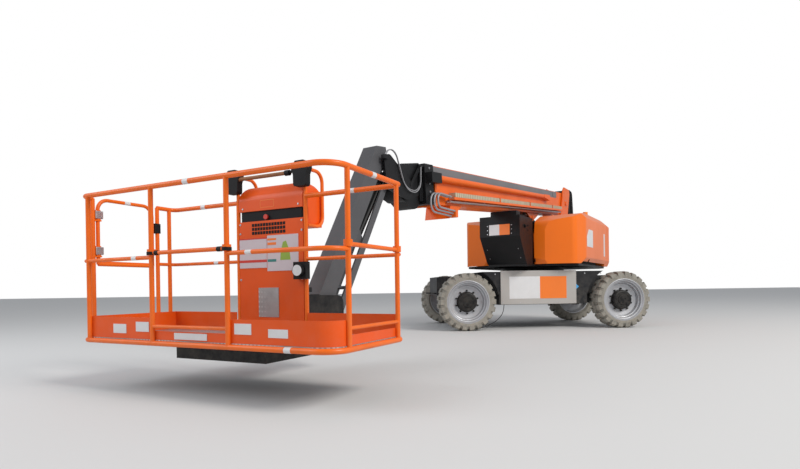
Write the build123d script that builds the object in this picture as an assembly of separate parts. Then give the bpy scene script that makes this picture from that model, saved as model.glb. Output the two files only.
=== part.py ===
from build123d import *
import math
import os

os.makedirs("parts", exist_ok=True)

# Millimetres, +Z up. The origin is on the ground under the slewing centre.
# Chassis: +X to the steered axle, +Y to its left. Turntable: +X along the boom.

# Wheels and chassis
TYRE_R = 505
TYRE_W = 350
RIM_R = 375
HUB_R = 165
LUGS = 22
LUG_H = 30
OVERALL_W = 2460
AXLE_FIXED_X = -1580
AXLE_STEER_X = 1240
KINGPIN_INSET = 130
STEER_ARM = 210
DECK_Z = 1030
BELLY_Z = 440
BODY_HALF_W = 1035
PANEL_T = 22
PANEL_X0 = -955
PANEL_X1 = 432
ARCH_R = 600
SPINE_HALF_W = 430
SPINE_Z0 = 620
SPINE_Z1 = 960
SPINE_X0 = -2000
SPINE_X1 = 1640
AXLE_H = 170
TIE_Y = 330
TIE_Z = (640, 665)
TIE_R = 42
TIE_HOLE = 44
TIE_REACH = 55
FIT = 0.3
PIN_PLAY = 0.5
SEAM_TURN = 37

# Turntable
SLEW_TURN = -127.5
RING_R = 600
RING_H = 52
BASE_Z0 = 1120
BASE_T = 40
POD_OUT = 1150
POD_IN = 372
POD_TOP = 2130
POD_FRONT = 1030
POD_WALL = 12
POD_SIDE_Z = 1985
POD_FRONT_Z = 1700
CROWN_Y = 1030
SKIRT_H = 110
HOOD_REAR = -1300
SEAM = 8
REAR_X = -1860
REAR_TOP = 1960
REAR_LOW = 1800
SLOT_HALF = 216
HOOD_PIN_IN = 12
HOOD_PIN_UP = 22
HOOD_PIN_X = (-1080, -180)
BLOCK_FRONT = 1750
BLOCK_BACK = 1075
BLOCK_HALF_W = 360
BLOCK_TOP = 1968
PLATE_T = 25
EAR_HALF_GAP = 182
LIFT_BASE = (-1300, 1680)
LIFT_EYE = (330, 2080)

# Boom
PIVOT_X = -1780
PIVOT_Z = 2610
DROOP = 5.0
BOOM_LEN = 6205
BOOM_REAR = -140
BOOM_HALF_W = 170
BOOM_TOP = 232
BOOM_SEAM = 100
BOOM_BOTTOM = -250
BASE_WALL = 10
MID_WALL = 9
FLY_WALL = 8
SLIDE_GAP = 12
MID_REAR = 420
FLY_REAR = 560
COVER_X0 = 645
STROKE = 4300
NOSE_GAP = 8
NOSE_LEN = 225
HEAD_GAP = 10

# Jib, in the boom's upright plane: x forward, z up
LEVEL_PIN = (5000, 1930)
JIB_PIN = (5370, 2160)
JIB_DROP = 58.7
JIB_LEN = 1790
BEAM_AHEAD = 126
LINK_AT = (-16.5, -224.4)
JIB_W = 180
JIB_D = 200
JIB_WALL = 8
LINK_D = 84
LINK_Y0 = 64
LINK_Y1 = 84
EAR_Y0 = 42
EAR_Y1 = 57
CYL_LOW_AT = (980, -79)
PIN_D = 50
BRACKET_Y0 = 125
BRACKET_Y1 = 142
HEAD_HALF_W = 118
HOSE_D = 12
HOSE_Y = (152.3, 166)

# Platform
ROTATOR_X = 6800
PLATFORM_TURN = 5.2
RAIL_D = 38
POST_D = 35
BAR_D = 30
PLAT_W = 2410
PLAT_D = 892
PLAT_BACK = -255
PLAT_SHIFT = 42
PLAT_Z = 395
TOP_Z = 1535
MID_Z = 1020
TOE_Z = 580
FLOOR_TOP = 420
GATE_Y0 = 136
CORNER_R = 150
GATE_CORNER_R = 88

TYRE_Y = OVERALL_W / 2 - TYRE_W / 2
KINGPIN_Y = TYRE_Y - KINGPIN_INSET


TURNTABLE_PLACE = Rot(0, 0, SLEW_TURN)
BOOM_PLACE = Rot(0, 0, SLEW_TURN) * Pos(PIVOT_X, 0, PIVOT_Z) * Rot(0, DROOP, 0)
PLATFORM_PLACE = Rot(0, 0, SLEW_TURN) * Pos(ROTATOR_X, 0, 0) * Rot(0, 0, 90 + PLATFORM_TURN)


def solids_of(shapes):
    found = []
    for shape in shapes:
        if isinstance(shape, (list, tuple, ShapeList)):
            found += solids_of(shape)
        else:
            found += shape.solids()
    return found


def write(node, *shapes, place=None):
    found = solids_of(shapes)
    if place is not None:
        found = [place * solid for solid in found]
    whole = found[0] if len(found) == 1 else Compound(children=found)
    whole.label = node
    export_step(whole, f"parts/{node}.step")
    return whole


def block(x0, x1, y0, y1, z0, z1):
    size = (x1 - x0, y1 - y0, z1 - z0)
    return Pos((x0 + x1) / 2, (y0 + y1) / 2, (z0 + z1) / 2) * Box(*size)


def tube_plane(origin, direction):
    """Plane across a bar, turned so that its seam meets no crossing bar."""
    plane = Plane(origin=origin, z_dir=direction)
    x_dir = plane.x_dir.rotate(Axis((0, 0, 0), plane.z_dir), SEAM_TURN)
    return Plane(origin=origin, x_dir=x_dir, z_dir=direction)


def rod(start, end, diameter):
    start, end = Vector(*start), Vector(*end)
    return extrude(tube_plane(start, end - start) * Circle(diameter / 2), (end - start).length)


def pin_y(x, z, y0, y1, diameter):
    return rod((x, y0, z), (x, y1, z), diameter)


def pin_z(x, y, z0, z1, diameter):
    return rod((x, y, z0), (x, y, z1), diameter)


def side_plate(points, y0, y1):
    """Outline of (x, z) points, thick from y0 to y1."""
    face = make_face(Polyline(*[(x, 0, z) for x, z in points], close=True))
    return Pos(0, y0, 0) * extrude(face, y1 - y0, dir=(0, 1, 0))


def floor_plate(points, z0, z1):
    """Outline of (x, y) points, thick from z0 to z1."""
    return Pos(0, 0, z0) * extrude(make_face(Polyline(*points, close=True)), z1 - z0)


def bent(points, radii, diameter):
    """Round bar along straight runs with tangent bends at the inner points."""
    path = FilletPolyline(*points, radius=radii)
    first = Vector(*points[1]) - Vector(*points[0])
    return sweep(tube_plane(points[0], first) * Circle(diameter / 2), path=path)


def hull_plate(circles, y0, y1):
    """Plate around circles (x, z, radius), thick from y0 to y1."""
    discs = [(Pos(x, z) * Circle(r)).edge() for x, z, r in circles]
    return Rot(90, 0, 0) * Pos(0, 0, -y1) * extrude(make_hull(discs), y1 - y0)


def soft_face(points):
    """Flat face through points (u, v, corner radius)."""
    face = make_face(Polyline(*[(u, v) for u, v, r in points], close=True))
    for u, v, r in points:
        if r > 0:
            face = fillet(face.vertices().sort_by_distance((u, v, 0))[0], r)
    return face


def faceted(points, steps=6):
    """Outline whose corners (u, v, corner radius) are rounded in short straight runs."""
    out = []
    for i, (u, v, r) in enumerate(points):
        if r == 0:
            out.append((u, v, 0))
            continue
        (pu, pv, _), (nu, nv, _) = points[i - 1], points[(i + 1) % len(points)]
        back, on = math.atan2(pv - v, pu - u), math.atan2(nv - v, nu - u)
        half = (on - back + math.pi) % (2 * math.pi) - math.pi
        middle, half = back + half / 2, abs(half) / 2
        cu, cv = u + r / math.sin(half) * math.cos(middle), v + r / math.sin(half) * math.sin(middle)
        reach = r / math.tan(half)
        first = math.atan2(v + reach * math.sin(back) - cv, u + reach * math.cos(back) - cu)
        last = math.atan2(v + reach * math.sin(on) - cv, u + reach * math.cos(on) - cu)
        turn = (last - first + math.pi) % (2 * math.pi) - math.pi
        for k in range(steps + 1):
            a = first + turn * k / steps
            out.append((cu + r * math.cos(a), cv + r * math.sin(a), 0))
    return out


def cord(node, points, diameter):
    """Free cord: each bend's radius is 0.45 of its shorter run over the tangent of half the turn."""
    radii = []
    spots = [Vector(*p) for p in points]
    for a, b, c in zip(spots, spots[1:], spots[2:]):
        turn = math.radians((b - a).get_angle(c - b))
        radii.append(0.45 * min((b - a).length, (c - b).length) / math.tan(turn / 2))
    path = FilletPolyline(*points, radius=radii)
    solid = sweep(tube_plane(points[0], spots[1] - spots[0]) * Circle(diameter / 2), path=path)
    section = math.pi * diameter ** 2 / 4
    print(node, "length", round(path.length, 1), "radii", [round(r) for r in radii],
          "volume ratio", round(solid.volume / section / path.length, 4))
    return solid


def fuse(shapes):
    whole = shapes[0]
    for shape in shapes[1:]:
        whole = whole + shape
    return whole


def mirror_y(shape):
    return mirror(shape, about=Plane.XZ)


# Wheels
def tyre():
    """Solid tyre about the Y axis: outer face at +Y, bars on both shoulders."""
    half = TYRE_W / 2
    base = TYRE_R - LUG_H
    profile = [(RIM_R + 2, -half), (base - 55, -half), (base, -half + 45), (base, half - 45),
               (base - 55, half), (RIM_R + 2, half), (RIM_R - 35, half - 40), (RIM_R - 35, 40 - half)]
    face = make_face(Polyline(*[(r, y, 0) for r, y in profile], close=True))
    body = revolve(face, axis=Axis.Y)
    pitch = 360 / LUGS
    bar = floor_plate([(base - 60, half - 2), (TYRE_R - 25, half - 8), (TYRE_R, half - 50),
                       (TYRE_R, -15), (base - 12, -15), (base - 12, half - 60)], -42, 42)
    bars = []
    for i in range(LUGS):
        bars.append(Rot(0, i * pitch, 0) * bar)
        bars.append(Rot(0, (i + 0.5) * pitch, 0) * mirror(bar, about=Plane.XZ))
    return body.fuse(*bars)


def rim():
    """Deep stepped rim, its disc and the drive hub's end, about the Y axis."""
    half = TYRE_W / 2
    disc_y = half - 140
    profile = [(RIM_R - 35.5, 40 - half), (RIM_R - 35.5, half - 40), (RIM_R + 1, half - 1),
               (RIM_R - 12, half + 2), (RIM_R - 30, half - 22), (RIM_R - 45, half - 26),
               (RIM_R - 60, half - 70), (RIM_R - 75, half - 75), (RIM_R - 90, disc_y + 12),
               (HUB_R + 60, disc_y), (HUB_R, disc_y), (HUB_R, half - 62), (HUB_R - 22, half - 48),
               (HUB_R - 70, half - 46), (HUB_R - 78, half - 34), (0, half - 34), (0, disc_y - 22),
               (RIM_R - 80, disc_y - 22), (RIM_R - 52, disc_y - 60), (RIM_R - 52, 40 - half)]
    face = make_face(Polyline(*[(r, y, 0) for r, y in profile], close=True))
    body = revolve(face, axis=Axis.Y)
    stud_r = HUB_R + 34
    studs = []
    for i in range(10):
        a = math.radians(36 * i + 18)
        x, z = stud_r * math.cos(a), stud_r * math.sin(a)
        studs.append(pin_y(x, z, disc_y - 2, disc_y + 26, 26))
    return body.fuse(*studs)


TYRE = tyre()
RIM = rim()
WHEELS = (
    # name, x, side
    ("rear_right", AXLE_FIXED_X, -1),
    ("rear_left", AXLE_FIXED_X, 1),
    ("front_right", AXLE_STEER_X, -1),
    ("front_left", AXLE_STEER_X, 1),
)
for name, x, side in WHEELS:
    turn = Rot(0, 0, 0) if side > 0 else Rot(0, 0, 180)
    place = Pos(x, side * TYRE_Y, TYRE_R) * turn
    write(f"tyre_{name}", TYRE, place=place)
    write(f"rim_{name}", RIM, place=place)

HOUSING_R = 150
HOUSING_Y = TYRE_Y + TYRE_W / 2 - 140 - 22 - FIT
YOKE_Z = 115
YOKE_T = 35


def fixed_axle():
    beam = block(-90, 90, -HOUSING_Y + 90, HOUSING_Y - 90, TYRE_R - AXLE_H / 2, TYRE_R + AXLE_H / 2)
    ends = [rod((0, s * (HOUSING_Y - 90), TYRE_R), (0, s * HOUSING_Y, TYRE_R), 2 * HOUSING_R) for s in (-1, 1)]
    flanges = [rod((0, s * (HOUSING_Y - 190), TYRE_R), (0, s * (HOUSING_Y - 160), TYRE_R), 290) for s in (-1, 1)]
    saddles = [block(-150, 150, s * 330 - 60, s * 330 + 60, TYRE_R, SPINE_Z0) for s in (-1, 1)]
    return Pos(AXLE_FIXED_X, 0, 0) * fuse([beam] + ends + flanges + saddles)


def steer_axle():
    reach = KINGPIN_Y - 85
    beam_end = reach - 60
    beam = block(-85, 85, -beam_end, beam_end, TYRE_R - AXLE_H / 2, TYRE_R + AXLE_H / 2)
    parts = [beam, block(-120, 120, -110, 110, TYRE_R, SPINE_Z0)]
    for s in (-1, 1):
        y0, y1 = sorted((s * beam_end, s * KINGPIN_Y))
        web_y0, web_y1 = sorted((s * beam_end, s * reach))
        for dz in (-1, 1):
            z0, z1 = sorted((TYRE_R + dz * YOKE_Z, TYRE_R + dz * (YOKE_Z + YOKE_T)))
            parts.append(block(-65, 65, y0, y1, z0, z1))
            parts.append(pin_z(0, s * KINGPIN_Y, z0, z1, 130))
        parts.append(block(-65, 0, web_y0, web_y1, TYRE_R - YOKE_Z - YOKE_T, TYRE_R + YOKE_Z + YOKE_T))
    parts.append(block(80, STEER_ARM, -60, 60, TYRE_R - 30, TYRE_R + 30))
    parts.append(pin_y(STEER_ARM, TYRE_R, -210, 210, 92))
    whole = fuse(parts)
    whole = whole - pin_y(STEER_ARM, TYRE_R, -300, 300, 44 + 2 * FIT)
    for s in (-1, 1):
        whole = whole - pin_z(0, s * KINGPIN_Y, 0, 2 * TYRE_R, 60 + 2 * PIN_PLAY)
    return Pos(AXLE_STEER_X, 0, 0) * whole


def knuckle(side):
    """Steering knuckle with its kingpin, arm and drive housing."""
    z = TYRE_R
    parts = [pin_z(0, 0, z - YOKE_Z + 5, z + YOKE_Z - 5, 150)]
    parts.append(pin_z(0, 0, z - YOKE_Z - YOKE_T, z + YOKE_Z + YOKE_T, 60))
    parts.append(block(-75, 75, 0, 75, z - YOKE_Z + 5, z + YOKE_Z - 5))
    parts.append(rod((0, 72, z), (0, HOUSING_Y - KINGPIN_Y, z), 2 * HOUSING_R))
    parts.append(block(60, STEER_ARM + 30, -60, 0, z - 78, z - 48))
    whole = fuse(parts)
    if side < 0:
        whole = mirror_y(whole)
    return Pos(AXLE_STEER_X, side * KINGPIN_Y, 0) * whole


write("axle_fixed", fixed_axle())
write("axle_steer", steer_axle())
write("knuckle_left", knuckle(1))
write("knuckle_right", knuckle(-1))
ROD_END = KINGPIN_Y - 30
steer_rod = pin_y(AXLE_STEER_X + STEER_ARM, TYRE_R, -ROD_END, ROD_END, 44)
rod_eyes = [pin_z(AXLE_STEER_X + STEER_ARM, s * (ROD_END - 10), TYRE_R - 42, TYRE_R + 26, 64) for s in (-1, 1)]
write("steer_rod", fuse([steer_rod] + rod_eyes))


def chassis_frame():
    body = block(PANEL_X0 - 330, PANEL_X1 + 560, -BODY_HALF_W, BODY_HALF_W, BELLY_Z, DECK_Z)
    spine = block(SPINE_X0, SPINE_X1, -SPINE_HALF_W, SPINE_HALF_W, SPINE_Z0, SPINE_Z1)
    for x in (AXLE_FIXED_X, AXLE_STEER_X):
        for s in (-1, 1):
            y0, y1 = sorted((s * SPINE_HALF_W, s * 1300))
            body = body - pin_y(x, TYRE_R, y0, y1, 2 * ARCH_R)
            body = body - block(x - ARCH_R, x + ARCH_R, y0, y1, 0, TYRE_R)
        body = body - block(x - 260, x + 260, -SPINE_HALF_W - 1, SPINE_HALF_W + 1, 0, SPINE_Z0)
    body = body - block(AXLE_STEER_X - ARCH_R, 3000, -2000, 2000, 0, SPINE_Z0)
    body = body - block(-3000, AXLE_FIXED_X + ARCH_R, -2000, 2000, 0, SPINE_Z0)
    whole = body + spine
    t = 18
    hollow = block(AXLE_FIXED_X + ARCH_R + t, AXLE_STEER_X - ARCH_R - t, -BODY_HALF_W + t, BODY_HALF_W - t,
                   BELLY_Z + t, DECK_Z - t)
    w = SPINE_HALF_W - t
    tunnel = block(SPINE_X0 + t, SPINE_X1 - t, -w, w, SPINE_Z0 + t, SPINE_Z1 - t)
    whole = whole - hollow - tunnel
    for x, out in ((SPINE_X0, -1), (SPINE_X1, 1)):
        for s in (-1, 1):
            y = s * TIE_Y
            hole_x = x + out * TIE_REACH
            ear = block(*sorted((x, hole_x)), y - TIE_R, y + TIE_R, *TIE_Z) + pin_z(hole_x, y, *TIE_Z, 2 * TIE_R)
            whole = whole + ear - pin_z(hole_x, y, TIE_Z[0] - 5, TIE_Z[1] + 5, TIE_HOLE)
    return whole


write("chassis_frame", chassis_frame())
panels = [block(PANEL_X0, PANEL_X1, *sorted((s * BODY_HALF_W, s * (BODY_HALF_W + PANEL_T))), 447, 1045)
          for s in (-1, 1)]
write("side_panels", panels)
ring = Pos(0, 0, DECK_Z) * (Cylinder(RING_R, RING_H, align=(Align.CENTER, Align.CENTER, Align.MIN))
                            - Cylinder(RING_R - 110, RING_H, align=(Align.CENTER, Align.CENTER, Align.MIN)))
write("slew_ring", ring)

# Turntable
RING_TOP = DECK_Z + RING_H + FIT
BASE_TOP = BASE_Z0 + BASE_T


def turntable_base():
    outline = [(REAR_X + 60, -900), (-1500, -1060), (700, -1060), (POD_FRONT - 60, -560), (POD_FRONT - 60, -370),
               (1400, -350), (1400, 350), (POD_FRONT - 60, 370), (POD_FRONT - 60, 560), (700, 1060),
               (-1500, 1060), (REAR_X + 60, 900)]
    plate = floor_plate(outline, BASE_Z0, BASE_TOP)
    ring = Pos(0, 0, RING_TOP) * Cylinder(RING_R - 20, BASE_Z0 - RING_TOP + 5,
                                          align=(Align.CENTER, Align.CENTER, Align.MIN))
    return plate + ring


def boom_posts():
    outline = [(-985, BASE_TOP), (-1390, 2340), (-1580, 2890), (-1660, 2960), (-2050, 2960),
               (-2110, 2880), (-1930, 2340), (-1560, BASE_TOP)]
    y0 = EAR_HALF_GAP
    plates = [side_plate(outline, y0, y0 + PLATE_T), side_plate(outline, -y0 - PLATE_T, -y0)]
    pin = pin_y(PIVOT_X, PIVOT_Z, -y0 - PLATE_T - 18, y0 + PLATE_T + 18, 90)
    web = block(-1560, -1535, -y0, y0, BASE_TOP, 1800)
    lug_pin = pin_y(LIFT_BASE[0], LIFT_BASE[1], -y0, y0, 60)
    cap_bracket = block(-2065 + FIT, -1880, -y0 - PLATE_T, y0 + PLATE_T, 2215, 2290)
    return fuse(plates + [pin, web, lug_pin, cap_bracket])


def body_shape(inset):
    """Closed shape of the left covers and counterweight, its walls moved in by the inset."""
    t = inset
    out = POD_OUT - t
    front = POD_FRONT - t
    rear = REAR_X + t
    base = BASE_TOP + FIT - (50 if t else 0)
    top = POD_TOP - t
    side_z, front_z = POD_SIDE_Z - t / 2, POD_FRONT_Z - t / 2
    plan = soft_face([(rear, 0, 0), (rear, 820, 110 - t), (rear + 190, out, 160 - t), (480, out, 250 - t),
                      (820, out - 110, 150 - t), (front - 12, 560 - t / 3, 0), (front, POD_IN, 0), (front, 0, 0)])
    across = soft_face([(0, base, 0), (out - 60, base, 0), (out, BASE_TOP + SKIRT_H, 0), (out, side_z, 60 - t),
                        (CROWN_Y, top, 110 - t), (0, top, 0)])
    lengthwise = soft_face([(rear, base, 0), (front - 30, base, 0), (front, BASE_TOP + SKIRT_H, 0),
                            (front, front_z, 60), (front - 40, 1925 - t, 130 - t), (650, 2050 - t, 300),
                            (0, top, 500), (-1200, top, 300), (REAR_X + 190, REAR_TOP - t, 160),
                            (rear, REAR_LOW - t / 2, 80 - t)])
    shape = Pos(0, 0, base) * extrude(plan, top - base)
    shape = shape & extrude(Plane.YZ.offset(rear - 10) * across, front - rear + 20)
    return shape & (Rot(90, 0, 0) * Pos(0, 0, -out - 10) * extrude(lengthwise, out + 10))


def hood(side):
    """Hollow side cover, open below and towards the boom."""
    shell = body_shape(0) - body_shape(POD_WALL)
    shell = shell & block(HOOD_REAR, POD_FRONT + 10, POD_IN, POD_OUT + 10, BASE_TOP, POD_TOP + 10)
    y, z = POD_IN + HOOD_PIN_IN, POD_TOP + HOOD_PIN_UP
    for x in HOOD_PIN_X:
        barrel = rod((x, y, z), (x + 120, y, z), 26) + block(x, x + 120, y, y + 55, POD_TOP - 2, POD_TOP + 14)
        barrel = barrel + block(x, x + 120, y, y + 13, POD_TOP, z)
        shell = shell + barrel - rod((x - 5, y, z), (x + 125, y, z), 12 + 2 * PIN_PLAY)
    return shell if side > 0 else mirror_y(shell)


def hood_stands():
    """Uprights inside the covers with a pin for each cover's hinge barrel."""
    stands = []
    y, z = POD_IN + HOOD_PIN_IN, POD_TOP + HOOD_PIN_UP
    for x in HOOD_PIN_X:
        end = x - 5
        post = block(end - 30, end, 330, 362, BASE_TOP, z + 14) + block(end - 30, end, 330, y, z - 14, z + 14)
        post = post + rod((end - 30, y, z), (end, y, z), 28) + rod((end, y, z), (x + 120, y, z), 12)
        stands += [post, mirror_y(post)]
    return stands


def front_block():
    def outline(t):
        return [(BLOCK_BACK - (5 if t else 0), BASE_TOP - (5 if t else 0)), (1415 - t, BASE_TOP - (5 if t else 0)),
                (BLOCK_FRONT - t, 1620), (BLOCK_FRONT - t, BLOCK_TOP - t), (BLOCK_BACK - (5 if t else 0), BLOCK_TOP - t)]
    outer = side_plate(outline(0), -BLOCK_HALF_W, BLOCK_HALF_W)
    inner = side_plate(outline(8), -BLOCK_HALF_W + 8, BLOCK_HALF_W - 8)
    rest = block(1560, 1740, -160, 300, BLOCK_TOP, REST_TOP)
    return outer - inner + rest


def boom_under_z(x):
    """Height of the boom's underside above x in the turntable's frame."""
    slope = math.tan(math.radians(DROOP))
    return PIVOT_Z - (x - PIVOT_X) * slope + BOOM_BOTTOM / math.cos(math.radians(DROOP))


REST_TOP = boom_under_z(1740) - 6


def counterweight():
    """Cast rear body with a slot for the boom's posts, joined low at the back."""
    half = body_shape(0) & block(REAR_X, HOOD_REAR - SEAM, SLOT_HALF, POD_OUT + 10, BASE_TOP, POD_TOP)
    back = block(REAR_X, REAR_X + 60, -SLOT_HALF - 20, SLOT_HALF + 20, BASE_TOP + FIT, 1480)
    return fuse([half, mirror_y(half), back])


write("turntable_base", turntable_base(), place=TURNTABLE_PLACE)
write("boom_posts", boom_posts(), place=TURNTABLE_PLACE)
write("front_block", front_block(), place=TURNTABLE_PLACE)
write("counterweight", counterweight(), place=TURNTABLE_PLACE)
write("hood_left", hood(1), place=TURNTABLE_PLACE)
write("hood_right", hood(-1), place=TURNTABLE_PLACE)
write("hood_stands", hood_stands(), place=TURNTABLE_PLACE)
packs = [block(-1150, 480, s * 740 - 230, s * 740 + 230, BASE_TOP, 1700) for s in (-1, 1)]
write("power_packs", packs, place=TURNTABLE_PLACE)
BEACON_Z = POD_TOP + FIT
BEACON_AT = (-1020, 800)
beacon = fuse([pin_z(*BEACON_AT, BEACON_Z, BEACON_Z + 24, 124), pin_z(*BEACON_AT, BEACON_Z + 24, BEACON_Z + 150, 96)])
write("beacon", beacon, place=TURNTABLE_PLACE)
CAP_HALF_W = 160
cap_side = soft_face([(-2065, 2200, 0), (-2065, 2330, 0), (-2125, 2890, 0), (-2180, 2985, 60), (-2330, 3005, 60),
                      (-2500, 2830, 90), (-2575, 2560, 60), (-2560, 2330, 60), (-2440, 2200, 0)])
cap = Rot(90, 0, 0) * Pos(0, 0, -CAP_HALF_W) * extrude(cap_side, 2 * CAP_HALF_W)
cap_core = Rot(90, 0, 0) * Pos(0, 0, 10 - CAP_HALF_W) * extrude(offset(cap_side, -10), 2 * CAP_HALF_W - 20)
cap = cap - cap_core - block(-2430, -2085, 10 - CAP_HALF_W, CAP_HALF_W - 10, 2190, 2260)
write("hose_cap", cap, place=TURNTABLE_PLACE)
mast_hoses = []
for inset, y in ((0, 0), (48, 0), (96, 0)):
    d = 26
    y = CAP_HALF_W + d / 2 + FIT
    points = [(-2120 - inset, y, 2300), (-2205 - inset * 0.8, y, 2965 - inset), (-2430 + inset, y, 2965 - inset),
              (-2545 + inset, y, 2300)]
    mast_hoses.append(bent(points, [108 - inset * 0.6, 108 - inset * 0.6], d))
write("mast_hoses", mast_hoses, place=TURNTABLE_PLACE)


# Boom: its own frame has the pivot at the origin and +X along the boom
def base_lower():
    w, t = BOOM_HALF_W, BASE_WALL
    outer = block(BOOM_REAR, BOOM_LEN, -w, w, BOOM_BOTTOM, BOOM_SEAM)
    inner = block(BOOM_REAR + 300, BOOM_LEN + 1, -w + t, w - t, BOOM_BOTTOM + t, BOOM_SEAM + 1)
    tail = block(BOOM_REAR, COVER_X0 - 2, -w, w, BOOM_SEAM - 1, BOOM_TOP)
    tail = tail - block(BOOM_REAR + 300, COVER_X0, -w + t, w - t, BOOM_SEAM - 2, BOOM_TOP - t)
    shell = outer - inner + tail
    flange = block(BOOM_LEN - 40, BOOM_LEN, -w - 22, w + 22, BOOM_BOTTOM - 22, BOOM_SEAM - 90)
    flange = flange - block(BOOM_LEN - 50, BOOM_LEN + 1, -w, w, BOOM_BOTTOM, BOOM_SEAM)
    shell = shell + flange
    pads = [block(BOOM_LEN - 160, BOOM_LEN - 60, -60, 60, BOOM_BOTTOM + t, BOOM_BOTTOM + t + SLIDE_GAP - FIT)]
    for s in (-1, 1):
        y0, y1 = sorted((s * (w - t), s * (w - t - SLIDE_GAP + FIT)))
        pads.append(block(BOOM_LEN - 160, BOOM_LEN - 60, y0, y1, -120, 20))
    shell = fuse([shell] + pads)
    hole = pin_y(0, 0, -400, 400, 90 + 2 * PIN_PLAY)
    bx, bz = in_boom(*LIFT_EYE)
    for s in (-1, 1):
        ear = hull_plate([(bx, bz, 62), (bx - 420, BOOM_BOTTOM + 30, 40), (bx + 300, BOOM_BOTTOM + 30, 40)],
                         *sorted((s * 96, s * 121)))
        ear = ear - block(bx - 600, bx + 600, -200, 200, BOOM_BOTTOM + 2, 200)
        shell = shell + ear
        shell = shell + pin_y(bx, bz, *sorted((s * 120, s * 132)), 76)
    return shell - hole


def in_boom(x, z):
    """Point of the upright plane in the boom's own frame."""
    a = math.radians(DROOP)
    dx, dz = x - PIVOT_X, z - PIVOT_Z
    return dx * math.cos(a) - dz * math.sin(a), dx * math.sin(a) + dz * math.cos(a)


def base_upper():
    w, t = BOOM_HALF_W, BASE_WALL
    outer = block(COVER_X0, BOOM_LEN - 10, -w, w, BOOM_SEAM, BOOM_TOP)
    inner = block(COVER_X0 - 1, BOOM_LEN + 1, -w + t, w - t, BOOM_SEAM - 1, BOOM_TOP - t)
    end = block(COVER_X0, COVER_X0 + 260, -w - 8, w + 8, BOOM_SEAM + 20, BOOM_TOP - 20)
    return outer + end - inner


def mid_boom():
    w = BOOM_HALF_W - BASE_WALL - SLIDE_GAP
    z0, z1 = BOOM_BOTTOM + BASE_WALL + SLIDE_GAP, BOOM_TOP - BASE_WALL - SLIDE_GAP
    t = MID_WALL
    end = BOOM_LEN + NOSE_LEN
    collar_x = BOOM_LEN + NOSE_GAP
    outer = block(MID_REAR, end, -w, w, z0, z1)
    inner = block(MID_REAR - 1, end + 1, -w + t, w - t, z0 + t, z1 - t)
    collar = block(collar_x, end, -w - 30, w + 30, z0 - 25, z1 + 30)
    holder = block(collar_x, end - 10, w + 29, TUBE_Y + 55, TUBE_Z - 70, TUBE_Z + 55)
    arm = block(HOLDER_X, collar_x + 1, BOOM_HALF_W + 29, TUBE_Y + 55, TUBE_Z - 70, TUBE_Z + 55)
    whole = outer + collar + holder + arm - inner
    pads = [block(BOOM_LEN - 120, BOOM_LEN - 20, -60, 60, z0 + t, z0 + t + SLIDE_GAP - FIT)]
    for s in (-1, 1):
        y0, y1 = sorted((s * (w - t), s * (w - t - SLIDE_GAP + FIT)))
        pads.append(block(BOOM_LEN - 120, BOOM_LEN - 20, y0, y1, -120, 20))
    return fuse([whole] + pads)


TUBE_D = 78
TUBE_Y = BOOM_HALF_W + 48
TUBE_Z = 75
HOLDER_X = BOOM_LEN - 42


def push_tube():
    tube = rod((1500, TUBE_Y, TUBE_Z), (HOLDER_X - FIT, TUBE_Y, TUBE_Z), TUBE_D)
    rear = hull_plate([(1410, TUBE_Z - 45, 28), (1420, TUBE_Z + 8, 30), (1760, TUBE_Z + 6, 30)], TUBE_Y - 41, TUBE_Y + 41)
    return tube + rear


def fly_boom():
    w = BOOM_HALF_W - BASE_WALL - MID_WALL - 2 * SLIDE_GAP
    z0 = BOOM_BOTTOM + BASE_WALL + MID_WALL + 2 * SLIDE_GAP
    z1 = BOOM_TOP - BASE_WALL - MID_WALL - 2 * SLIDE_GAP
    t = FLY_WALL
    end = BOOM_LEN + NOSE_LEN + HEAD_GAP
    return block(FLY_REAR, end, -w, w, z0, z1) - block(FLY_REAR - 1, end + 1, -w + t, w - t, z0 + t, z1 - t)


def fly_head():
    """Nose of the last section with its eye for the levelling pivot."""
    x0 = BOOM_LEN + NOSE_LEN + HEAD_GAP
    kx, kz = in_boom(*LEVEL_PIN)
    w = HEAD_HALF_W
    upper = hull_plate([(x0 + 40, 205, 40), (kx + 50, 160, 40), (kx, kz, 150), (x0 + 60, kz, 60)], -w, w)
    belly = hull_plate([(x0 + 185, kz - 50, 180), (x0 + 60, 60, 60), (kx, kz, 120)], -w + 12, w - 12)
    collar = block(x0, x0 + 60, -w - 14, w + 14, -215, 225)
    return fuse([upper, belly, collar]) - pin_y(kx, kz, -300, 300, 80 + 2 * PIN_PLAY)


write("boom_lower", base_lower(), place=BOOM_PLACE)
write("boom_upper", base_upper(), place=BOOM_PLACE)
write("boom_mid", mid_boom(), place=BOOM_PLACE)
write("push_tube", push_tube(), place=BOOM_PLACE)
write("boom_fly", fly_boom(), place=BOOM_PLACE)
write("fly_head", fly_head(), place=BOOM_PLACE)

TRAY_X0, TRAY_X1 = 560, 5850
tray_side = BOOM_HALF_W
tray = fuse([block(TRAY_X0, TRAY_X1, tray_side, tray_side + 110, -182, -174),
             block(TRAY_X0, TRAY_X1, tray_side + 104, tray_side + 110, -174, -150)])
STRAP_X = (1282, 2717, 4194)
for x in STRAP_X:
    strap = block(x - 12, x + 12, tray_side, tray_side + 110, -175, -84) - block(x - 13, x + 13, tray_side - 1, tray_side + 104, -176, -90)
    tray = tray + strap
write("chain_tray", tray, place=BOOM_PLACE)
PITCH = 60
CHAIN_Z0, CHAIN_Z1 = -173.7, -88
crest = [(TRAY_X0 + 20, CHAIN_Z0)]
x = TRAY_X0 + 20
while x + PITCH < TRAY_X1 - 20:
    crest += [(x, CHAIN_Z1), (x + PITCH - 16, CHAIN_Z1), (x + PITCH - 12, CHAIN_Z1 - 9), (x + PITCH - 4, CHAIN_Z1 - 9)]
    x += PITCH
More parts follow.
